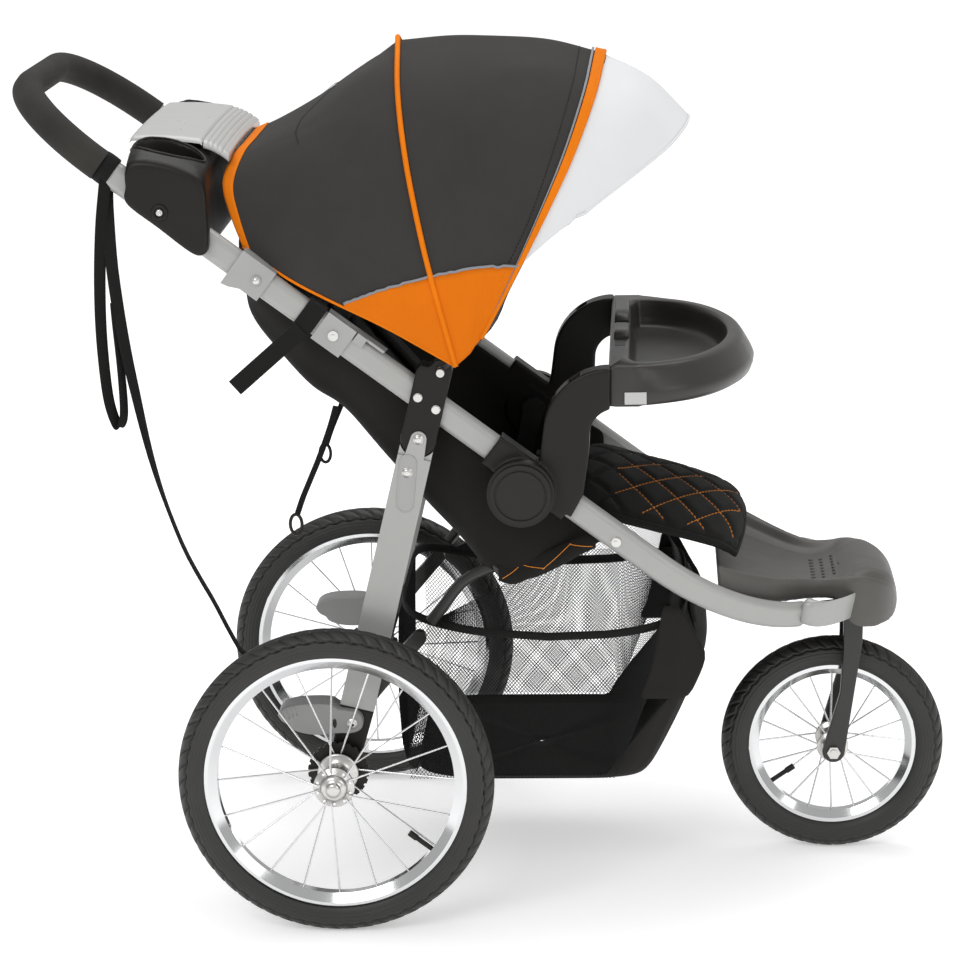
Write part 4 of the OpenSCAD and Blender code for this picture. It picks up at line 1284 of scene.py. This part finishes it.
CONSOLE_OUTLINE = [(-236, 950), (-236, 930), (-198, 899), (-158, 867), (-143, 865), (-137, 877), (-137, 920),
    (-138, 962), (-147, 979), (-172, 992), (-205, 1000), (-228, 999), (-236, 985)]
rings = []
for y, k, drop in ((-243, 0.94, 20), (-242, 0.975, 19), (-238, 1.0, 17), (-226, 1.0, 11), (-212, 1.0, 6),
        (-195, 1.0, 3), (-120, 1.0, 0), (0, 1.0, 0)):
    cx, cz = -187, 930
    r = [V(cx + (x - cx) * k, y, cz + (z - cz) * k - (drop if z > 955 else 0)) for x, z in CONSOLE_OUTLINE]
    rings.append(resample(catmull(r + [r[0]], 5), 66)[:-1])
rings += [[flip(p) for p in r] for r in rings[-2::-1]]
console = loft("console", rings, M["plastic"])
cut(console, drum("t1", (-189, -190), 43, 29, 915, 1030, None),
    drum("t2", (-189, 190), 43, 29, 915, 1030, None))
rounded(console, 2.2, 4)
place(console, "handle", "dark_plastic", "console")
console_tree = tree(console)
CUP = (-189, 190)  # middle of a cup well
for s, tag in ((-1, "r"), (1, "l")):
    rim = []
    for a in turn(64):
        x, y = CUP[0] + 45.5 * math.cos(a), CUP[1] + 31.5 * math.sin(a)
        hit = console_tree.ray_cast(V(x, s * y, 1100), Vector((0, 0, -1)))[0]
        rim.append(V(x, s * y, hit.z * 1000 + 0.4 if hit and hit.z > 0.955 else 985))
    place(tube("cup_rim_" + tag, rim, 1.7, M["plastic"], 10, closed=True), "handle", "dark_plastic")
    for name, prof, mat, n, y, slot in (
            ("console_screw_", [(0, 0.8), (1.4, 0.8), (1.6, 1.9), (3.4, 1.6), (4.4, 0.4), (4.6, -0.5)],
                "steel", 32, 244.6, "bright_steel"),
            ("console_screw_ring_", [(6.2, 1), (7.2, 2), (9.4, 2), (10.4, 1), (10.4, 0), (6.2, 0)], "plastic",
                40, 243.2, "dark_plastic")):
        o = lathe(name + tag, prof, M[mat], n)
        o.location = V(-195, s * y, 919)
        if s < 0:
            o.scale = (1, -1, 1)
        place(o, "handle", slot)


def lid_rows(x0, x1, n, z_of, half, t, groove=()):
    """Top and bottom rows of a crowned lid with rounded rims and grooves across it."""
    def fall(e, mm):
        return mm * (1 - math.sqrt(max(0, 1 - (1 - e) ** 2)))
    top, bot = [], []
    for i in range(n):
        x = x0 + (x1 - x0) * i / (n - 1)
        rt, rb = [], []
        for j in range(41):
            y = -half + 2 * half * j / 40
            e = min(1, (half - abs(y)) / 9)
            g = sum(1.7 * math.exp(-((x - c) / 0.9) ** 2) for c in groove)
            ex = min(1, (x - x0) / 5, (x1 - x) / 4) if not groove else 1
            z = z_of(x) + 3.5 * (1 - (y / half) ** 2) - fall(e, 4.5) - fall(max(ex, 0), 3) - g
            rt.append(V(x, y, z))
            rb.append(V(x, y, z_of(x) - t))
        top.append(rt)
        bot.append(rb)
    return top, bot


lid_top, lid_low = lid_rows(-241, -151, 46, lambda x: 1000.5 - 0.00115 * (x + 222) ** 2, 160, 5)
place(closed_pad("console_lid_dome", lid_top, lid_low, M["pale"]), "lid", "pale_plastic", "console_lid")
lid_top, lid_low = lid_rows(-150, -119, 63, lambda x: 994.5 - 0.011 * (x + 160) ** 2, 158, 9,
    (-144, -138, -132, -126))
place(closed_pad("console_shutter", lid_top, lid_low, M["pale"]), "handle", "pale_plastic")

# ------------------------------------------------------------ tray


def tray_ring(inset, back, z, n=56):
    """One level of the tray; the outer wall is flush with the arms at its back end."""
    pts = []
    outer = inset < 30
    for i in range(n + 1):
        t = -math.pi / 2 + math.pi * i / n
        x, y = 390 + 145 * math.cos(t), 228 * math.sin(t)
        k = max(0, min(1, (x - 362) / 75)) if outer else 1
        k = k * k * (3 - 2 * k)
        pts.append(V(x - inset * math.cos(t), y - inset * k * math.sin(t), z))
    b = 228 - inset * (0.056 if outer else 1)
    r = 0 if outer else 34
    side = [(390 + (back - 390) * u, b - r * max(0, u - 0.2) ** 2 * 1.2) for u in [i / 8 for i in range(9)]]
    corner = b - r * 0.768
    pts += [V(x, y, z) for x, y in side[1:]]
    pts += [V(back, corner - 2 * corner * i / 30, z) for i in range(1, 30)]
    pts += [V(x, -y, z) for x, y in side[:0:-1]]
    return pts


# levels of the tray from its underside, over the rim, to the floor of the bowl: inset, x of the back, z
TRAY_LEVELS = [(60, 372, 667), (22, 358, 666), (10, 350.5, 667), (3.5, 348.6, 671), (0.8, 348.6, 678),
    (0, 348.6, 684), (2.5, 348.6, 690), (8, 348.6, 700), (13.5, 348.6, 709), (17, 349.5, 713.5),
    (21, 353, 715.8), (31, 366, 716), (33.5, 372, 715.4), (35, 374.5, 712), (36, 375.5, 706),
    (37.5, 376.5, 694), (39.5, 377.5, 685), (43, 380, 680.5), (49, 383, 678.6), (58, 386, 678),
    (90, 389, 678)]
tray = loft("snack_tray_body", [tray_ring(*r) for r in TRAY_LEVELS], M["tray"])
place(tray, "snack_tray", "tray_plastic", "tray")
# the phone slot is a dark slab flush with the rim, not a groove: its dark colour is painted shade of the
# slot's inside
slot_box = loft("tray_phone_slot", [[V(x, y, z) for x, y in ((355.5, -100), (368.5, -100), (368.5, 100),
    (355.5, 100))] for z in (705, 716.25)], M["cap"])
slot_box.data.polygons.foreach_set("use_smooth", [False] * len(slot_box.data.polygons))
place(slot_box, "snack_tray", "tray_plastic")
for y0, y1 in ((40, 186), (-60, 26)):
    b = loft("tray_slot_rail", [[V(x, y, z) for x, z in ((354, 716), (354.6, 718.6), (357, 719.4), (370,
        719.4), (372.6, 718.4), (373.4, 716))] for y in (y0, y1)], M["tray"])
    place(b, "snack_tray", "tray_plastic")

# ------------------------------------------------------------ footrest cover
COVER_SECTIONS = [  # x, half width, rim z, floor z, bottom z
    (484, 186, 447, 418, 412), (505, 176, 437, 411, 402), (530, 161, 427, 402, 393),
    (560, 138, 416, 394, 384), (590, 111, 408, 389, 379), (615, 98, 403, 388, 377),
    (640, 95, 404, 394, 372), (655, 97, 406, 403, 346), (668, 97, 406, 409, 338), (682, 93, 403, 410, 336),
    (695, 84, 397, 406, 336), (706, 71, 389, 399, 337), (715, 54, 379, 388, 340), (720, 38, 365, 373, 346),
    (722.5, 20, 354, 360, 352)]
keys = []
for x, w, zr, zf, zb in COVER_SECTIONS:
    f = [(1.0, zb + (zr - zb) * 0.25), (1.0, zr - 7), (0.985, zr - 1.5), (0.95, zr), (0.90, zr - 3),
        (0.82, zf + (zr - zf) * 0.35), (0.70, zf + (zr - zf) * 0.08), (0.45, zf), (0, zf)]
    half = [V(x, -w * a, z) for a, z in f]
    top = half + [flip(p) for p in half[-2::-1]]
    low = [V(x, w * a, zb) for a in (0.97, 0.6, 0, -0.6, -0.97)]
    keys.append(top + low)
keys = smooth_rows(keys, 5)
cover = loft("footrest_cover", keys, M["pan"])
rounded(cover, 2.0, 3)
place(cover, "frame", "tray_plastic", "front_cover")
cover_tree = tree(cover)
# the vent holes are dark plugs standing just proud of the cover, not openings: their dark colour is painted
# shade of the holes' insides
holes = []
for i, x in enumerate((612, 626, 640)):
    for j in range(7):
        y = (j - 3) * 13.5 + (0 if i % 2 else 3)
        z = cover_tree.ray_cast(V(x, y, 500), Vector((0, 0, -1)))[0].z * 1000
        holes.append(drum("h", (x, y), 3.3, 3.3, z - 4, z + 0.35, M["cap"], 16))
place(join("footrest_vents", holes), "frame", "tray_plastic")

# ------------------------------------------------------------ silver ends of the side tubes
for node, tag in (("side_tube_r", "r"), ("side_tube_l", "l")):
    me = NODE[node].data
    mx = max(v.co.x for v in me.vertices)
    near = [f for f in me.polygons if f.normal.x > 0.55 and f.center.x > mx - 0.03 and abs(f.normal.z) < 0.5]
    d = sum((f.normal * f.area for f in near), Vector()).normalized()
    best = max(v.co.dot(d) for v in me.vertices)
    ends = [v.co for v in me.vertices if v.co.dot(d) > best - 0.0008]
    lo = Vector([min(p[k] for p in ends) for k in range(3)])
    hi = Vector([max(p[k] for p in ends) for k in range(3)])
    c = (lo + hi) / 2
    up = (Vector((0, 0, 1)) - d * d.z).normalized()
    sd = d.cross(up)
    sec = [up * (7.6 if math.sin(a) > 0 else -7.6) / 1000 + (up * math.sin(a) + sd * math.cos(a)) * 0.0103
        for a in turn(40, 0.5)]
    sg = 1 if c.y > 0 else -1
    goal = V(670, sg * 78, 367)
    rings = []
    for i in range(13):
        u = i / 12
        w = (1 - u) ** 2
        p = c * w + (c + d * 0.03) * 2 * u * (1 - u) + goal * u * u
        rings.append([p + q for q in sec])
    rings = [[c - d * 0.002 + q * 0.99 for q in sec]] + rings
    place(loft("side_tube_end_" + tag, rings, M["silver"]), "frame", "silver_tube")

# ------------------------------------------------------------ wheels' hubs


def turned(name, prof, n, at, side, body, *nodes):
    """A turned steel piece standing out from the point at on one side."""
    o = lathe(name, prof, M["steel"], n)
    for v in o.data.vertices:
        v.co = at + Vector((v.co.x, v.co.y * side, v.co.z))
    place(recalc(o), body, "bright_steel", *nodes)


REAR_HUB = [(5, -33), (14, -33), (16, -31), (16, -27), (25, -27), (26, -26), (26, -24), (24, -23.4),
    (17, -22), (13, -18), (12, 0), (13, 18), (17, 22), (24, 23.4), (26, 24), (26, 26), (25, 27),
    (18, 27.6), (17, 30), (16, 33), (13, 35), (9.5, 35.4), (9, 37), (8.4, 39.5), (5, 40.4), (0, 40.6)]
for tag, side in (("r", -1), ("l", 1)):
    c = centre("rear_rim_" + tag)
    turned("hub_rear_" + tag, REAR_HUB, 72, c, side, "wheel_" + tag, "rear_hub_" + tag)
    nip = []
    for a in turn(10, 0.5):
        nip.append(tube("n", [c + Vector((0.0215 * math.cos(a), side * y / 1000, 0.0215 * math.sin(a)))
            for y in (26, 28.2)], 1.9, M["spoke"], 8))
    place(join("hub_spoke_heads_" + tag, nip), "wheel_" + tag, "bright_steel")
c = centre("front_rim")
FRONT_HUB = [(5, 0), (11, 0), (12, 14), (15, 18), (20, 19), (21, 20), (21, 22), (20, 23), (14, 23.6),
    (13, 27), (10, 29), (6, 29.4), (5, 29.4)]
turned("hub_front_b", FRONT_HUB, 72, c, -1, "wheel_front", "front_hub")
turned("hub_front_a", FRONT_HUB, 72, c, 1, "wheel_front")

# ------------------------------------------------------------ rivet heads and leg slots


def rivet(name, p, side, body, r=5.2, h=2.6):
    """A domed rivet head of radius r and height h."""
    prof = [(r + 1.4, 0), (r + 1.2, 0.5), (r, 0.7), (r * 0.92, h * 0.55), (r * 0.62, h * 0.9), (r * 0.25, h),
        (0, h * 0.9)]
    turned(name, prof, 40, V(*p), side, body)


for s, tag in ((-1, "r"), (1, "l")):
    rivet("rivet_tube_" + tag, (355, s * 229.2, 493), s, "frame", 5.0)
    rivet("rivet_latch_" + tag, (-81.6, s * 232.6, 830.7), s, "handle", 4.6)
    rivet("rivet_hinge_" + tag, (11.2, s * 232.4, 761), s, "frame", 4.8)
    rivet("rivet_leg_a_" + tag, (113.5, s * 236.2, 682.5), s, "frame", 4.4)
    rivet("rivet_leg_b_" + tag, (135.5, s * 236.2, 667), s, "frame", 4.4)
    rivet("rivet_leg_c_" + tag, (113, s * 239.6, 630), s, "legs", 5.2)
    a, b = V(99, s * 239.3, 600), V(94, s * 239.3, 548)
    d = (b - a).normalized()
    w = Vector((-d.z, 0, d.x))
    bow = [(w * math.cos(t) - d * math.sin(t)) * 0.0105 for t in [math.pi * k / 12 for k in range(13)]]
    ring = [a + p for p in bow] + [b - p for p in bow]
    q = loft("leg_slot_" + tag, [[p + Vector((0, s * h / 1000, 0)) for p in ring] for h in (-1.0, 0.25)],
        M["silver_dk"])
    place(q, "legs", "silver_tube")
    place(tube("leg_slot_edge_" + tag, ring, 0.9, M["silver"], 8, closed=True), "legs", "silver_tube")
    rivet("rivet_slot_" + tag, (97.8, s * 239.6, 588), s, "legs", 5.6, 3.0)

# ------------------------------------------------------------ foot pedals
PEDAL_OUTLINE = [(-75.7, 272.7), (-71.7, 280.6), (-61.8, 285.9), (-45.4, 289), (-19, 289.6), (-5.9, 287.8),
    (2, 282.5), (13.8, 280.2), (27, 277), (32.9, 269.6), (33, 260), (28.6, 252.3), (17.1, 248.5), (4, 248.6),
    (-9.2, 247.5),
    (-19, 246.5), (-32.2, 246.8), (-45.4, 249.1), (-57, 253.8), (-62.5, 260.5), (-70.7, 265.2)]
for tag, body in (("r", "pedal_r"), ("l", "pedal_l")):
    lo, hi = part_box("brake_pedal_" + tag)
    y0, y1 = lo[1] * 1000, hi[1] * 1000
    base = resample(catmull([V(x, 0, z) for x, z in PEDAL_OUTLINE + PEDAL_OUTLINE[:1]], 6), 91)[:-1]
    mid = V(-20, 0, 268)
    rings = []
    for f, k in ((0, 0.90), (0.02, 0.945), (0.06, 0.975), (0.14, 0.995), (0.3, 1), (0.7, 1), (0.86, 0.995),
            (0.94, 0.975), (0.98, 0.945), (1, 0.90)):
        rings.append([Vector((mid.x + (p.x - mid.x) * (1 - (1 - k) * 0.5), (y0 + (y1 - y0) * f) / 1000,
            mid.z + (p.z - mid.z) * k)) for p in base])
    place(loft("foot_pedal_" + tag, rings, M["grey"]), body, "grey_plastic", "brake_pedal_" + tag)
    sg = -1 if tag == "r" else 1
    out = y0 if sg < 0 else y1
    rivet("pedal_pin_" + tag, (19, out + sg * 0.3, 262.5), sg, "legs", 5.4, 2.6)
    # the pedal's slot is a dark oval plug on its face, not an opening: its dark colour is painted shade of the
    # slot's inside
    q = [V(-3 + 2.6 * math.cos(a), 0, 263 + 6.2 * math.sin(a)) for a in turn(24)]
    place(loft("pedal_slot_" + tag, [[p + Vector((0, (out + sg * h) / 1000, 0)) for p in q] for h in (-1.5,
        0.25)], M["cap"]), body, "grey_plastic")
    y = out + sg * 0.1
    starts = ((-69, 277), (-64, 280.5), (-59, 283), (-54, 285))
    grip = [tube("grip", [V(x, y, z), V(x + 3.5, y, z - 11)], 0.8, M["silver_dk"], 6) for x, z in starts]
    place(join("pedal_grip_lines_" + tag, grip), body, "grey_plastic")

# ------------------------------------------------------------ quilted edge under the seat front
for s, tag in ((-1, "r"), (1, "l")):
    low = catmull([V(x, 0, z) for x, z in ((207, 437), (228, 433), (262, 449), (296, 464), (330, 480))], 8)
    high = catmull([V(x, 0, z) for x, z in ((207, 466), (232, 462), (266, 475), (298, 488), (330, 503))], 8)
    top, bot = [], []
    for a, b in zip(low, high):
        ra, rb = [], []
        for j in range(13):
            u = j / 12
            p = a.lerp(b, u)
            yy = 206 - 2 * u
            bulge = 4.5 * math.sin(math.pi * u) ** 0.7 + 1.6 * abs(math.sin((p.x * 1000
                + (p.z * 1000) * 0.9) / 21)) + 0.4
            ra.append(Vector((p.x, s * (yy + bulge) / 1000, p.z)))
            rb.append(Vector((p.x, s * (yy - 2) / 1000, p.z)))
        top.append(ra)
        bot.append(rb)
    place(closed_pad("seat_edge_quilt_" + tag, top, bot, M["pad"]), "frame", "black_fabric")
    lines = []
    for x0, x1, u0, u1 in ((0.06, 0.30, 0.2, 0.9), (0.28, 0.52, 0.9, 0.15), (0.50, 0.76, 0.15, 0.9),
            (0.74, 0.97, 0.9, 0.2)):
        st = []
        for i in range(15):
            w = i / 14
            k, u = x0 + (x1 - x0) * w, u0 + (u1 - u0) * w
            st.append(on_rows(top, k, u) + Vector((0, s * 0.0009, 0)))
        lines.append(tube("q", st, 0.42, M["thread"], 6))
    place(join("seat_edge_stitch_" + tag, lines), "frame", "black_fabric")

# ------------------------------------------------------------ straps that hang free


def strap(name, node, body, pts, half, t, turns, with_piece):
    """A hanging strap: an oval section along pts, its flat side turned by turns(u)."""
    line = resample(catmull(pts, 8), 40)
    rows = []
    n = len(line)
    for i, p in enumerate(line):
        d = (line[min(i + 1, n - 1)] - line[max(i - 1, 0)]).normalized()
        u = i / (n - 1)
        k = turns(u)
        a = Vector((math.cos(k), math.sin(k), 0))
        a = (a - a.dot(d) * d).normalized()
        b = d.cross(a)
        rows.append([p + a * half / 1000 * math.cos(g) + b * t / 1000 * math.sin(g) for g in turn(14)])
    o = place(loft(name, rows, M["web"]), body, "webbing", node)


tether_line = [V(-262, -219, 944), V(-262, -222, 929), V(-261, -226, 890), V(-259, -230, 850),
    V(-255, -233, 810),
    V(-250, -235, 770), V(-244, -236, 730), V(-237, -236, 690), V(-230, -236, 650), V(-222, -236, 610),
    V(-212, -236, 570), V(-200, -235, 530), V(-186, -234, 490), V(-170, -233, 455), V(-152, -232, 420),
    V(-133, -231, 378), V(-116, -230, 348), V(-92, -230, 342), V(-55, -229, 356), V(-12, -227, 366),
    V(27, -226, 366)]
loop_pts = catmull([V(-262, -228, 958), V(-270, -229, 900), V(-275, -232, 830), V(-276, -234, 760),
    V(-272, -235, 690), V(-264, -235, 655), V(-258, -235, 650), V(-253, -235, 668), V(-254, -234, 720),
    V(-258, -233, 780), V(-260, -231, 806)], 6)
angles = [0.25 + 1.0 * i / (len(loop_pts) - 1) for i in range(len(loop_pts))]
faces = [Vector((math.cos(k), math.sin(k), 0)) for k in angles]
wrist_loop = place(ribbon("tether_wrist_loop", loop_pts, 15, 1.6, M["web"], faces), "handle", "webbing")
band_pts = [V(-262, -219, 970) + Vector((0, 0.0122 * math.sin(a), 0))
    + Vector((0.606, 0, 0.7955)) * 0.0195 * math.cos(a) for a in turn(28)]
tb = tube("tether_band", band_pts, (10, 1.1), M["web"], 10, flat=Vector((0.7955, 0, -0.606)), closed=True)
place(tb, "handle", "webbing")
strap("tether_webbing", "tether", "handle", tether_line, 7.6, 1.3,
    lambda u: 0.15 + 1.35 * min(1, max(0, (u - 0.12) / 0.4)), wrist_loop)
for s, tag in ((-1, "r"), (1, "l")):
    recline_line = [V(x, s * y, z) for x, y, z in ((6, 181, 660), (0, 183, 640), (-9, 184, 615), (-19, 185,
        590),
        (-30, 185, 565), (-40, 184, 542), (-48, 183, 520))]
    c = V(-50, s * 183, 507)
    hook_ring = [c + Vector((0.0075 * math.sin(t), 0, 0.013 * math.cos(t))) for t in turn(20)]
    h = place(tube("recline_hook_" + tag, hook_ring, 2.2, M["cap"], 8, flat=Vector((0, 1, 0)), closed=True),
        "frame",
        "webbing")
    strap("recline_webbing_" + tag, "recline_strap_" + tag, "frame", recline_line, 4.6, 1.3,
        lambda u: 0.6, h)

# ------------------------------------------------------------ floor and light
paper = Nodes("floor_paper")
paper.set(Base_Color=paper.ramp(paper.noise(3, 2), [(0.2, (0.90, 0.90, 0.90)), (0.8, (0.93, 0.93, 0.93))]),
    Roughness=0.9)
far = paper.add("ShaderNodeVectorMath", operation="LENGTH")
paper.link(paper.add("ShaderNodeTexCoord").outputs["Object"], far.inputs[0])
paper.b.inputs["Emission Color"].default_value = (1, 1, 1, 1)
glow = paper.add("ShaderNodeMapRange")
paper.link(far.outputs["Value"], glow.inputs["Value"])
for k, v in (("From Min", 0.35), ("From Max", 2.2), ("To Min", 0.36), ("To Max", 0.55)):
    glow.inputs[k].default_value = v
paper.link(glow.outputs["Result"], paper.b.inputs["Emission Strength"])
floor_sheet = obj("floor", [(-30, -12, 0), (30, -12, 0), (30, 50, 0), (-30, 50, 0)], [(0, 1, 2, 3)], paper.m,
    smooth=False)


def light(name, loc, aim, size, power):
    """An area light at loc, aimed at aim."""
    d = bpy.data.lights.new(name, "AREA")
    d.shape, d.size, d.size_y = "RECTANGLE", size[0], size[1]
    d.energy = power
    o = bpy.data.objects.new(name, d)
    o.location = loc
    o.rotation_mode = "QUATERNION"
    o.rotation_quaternion = (Vector(aim) - Vector(loc)).to_track_quat("-Z", "Y")
    bpy.context.scene.collection.objects.link(o)


light("key", (-1.6, -3.4, 3.4), (0, 0, 0.5), (2.4, 1.8), 62)
light("fill", (2.6, -2.6, 1.8), (0.1, 0, 0.5), (2.0, 1.6), 18)
light("top", (0.2, 0.8, 3.6), (0, 0, 0.4), (3.0, 2.4), 60)
w = bpy.data.worlds.new("studio")
bpy.context.scene.world = w
bpy.context.scene.view_settings.view_transform = "Standard"
w.use_nodes = True
w.node_tree.nodes["Background"].inputs["Color"].default_value = (1, 1, 1, 1)
w.node_tree.nodes["Background"].inputs["Strength"].default_value = 0.55
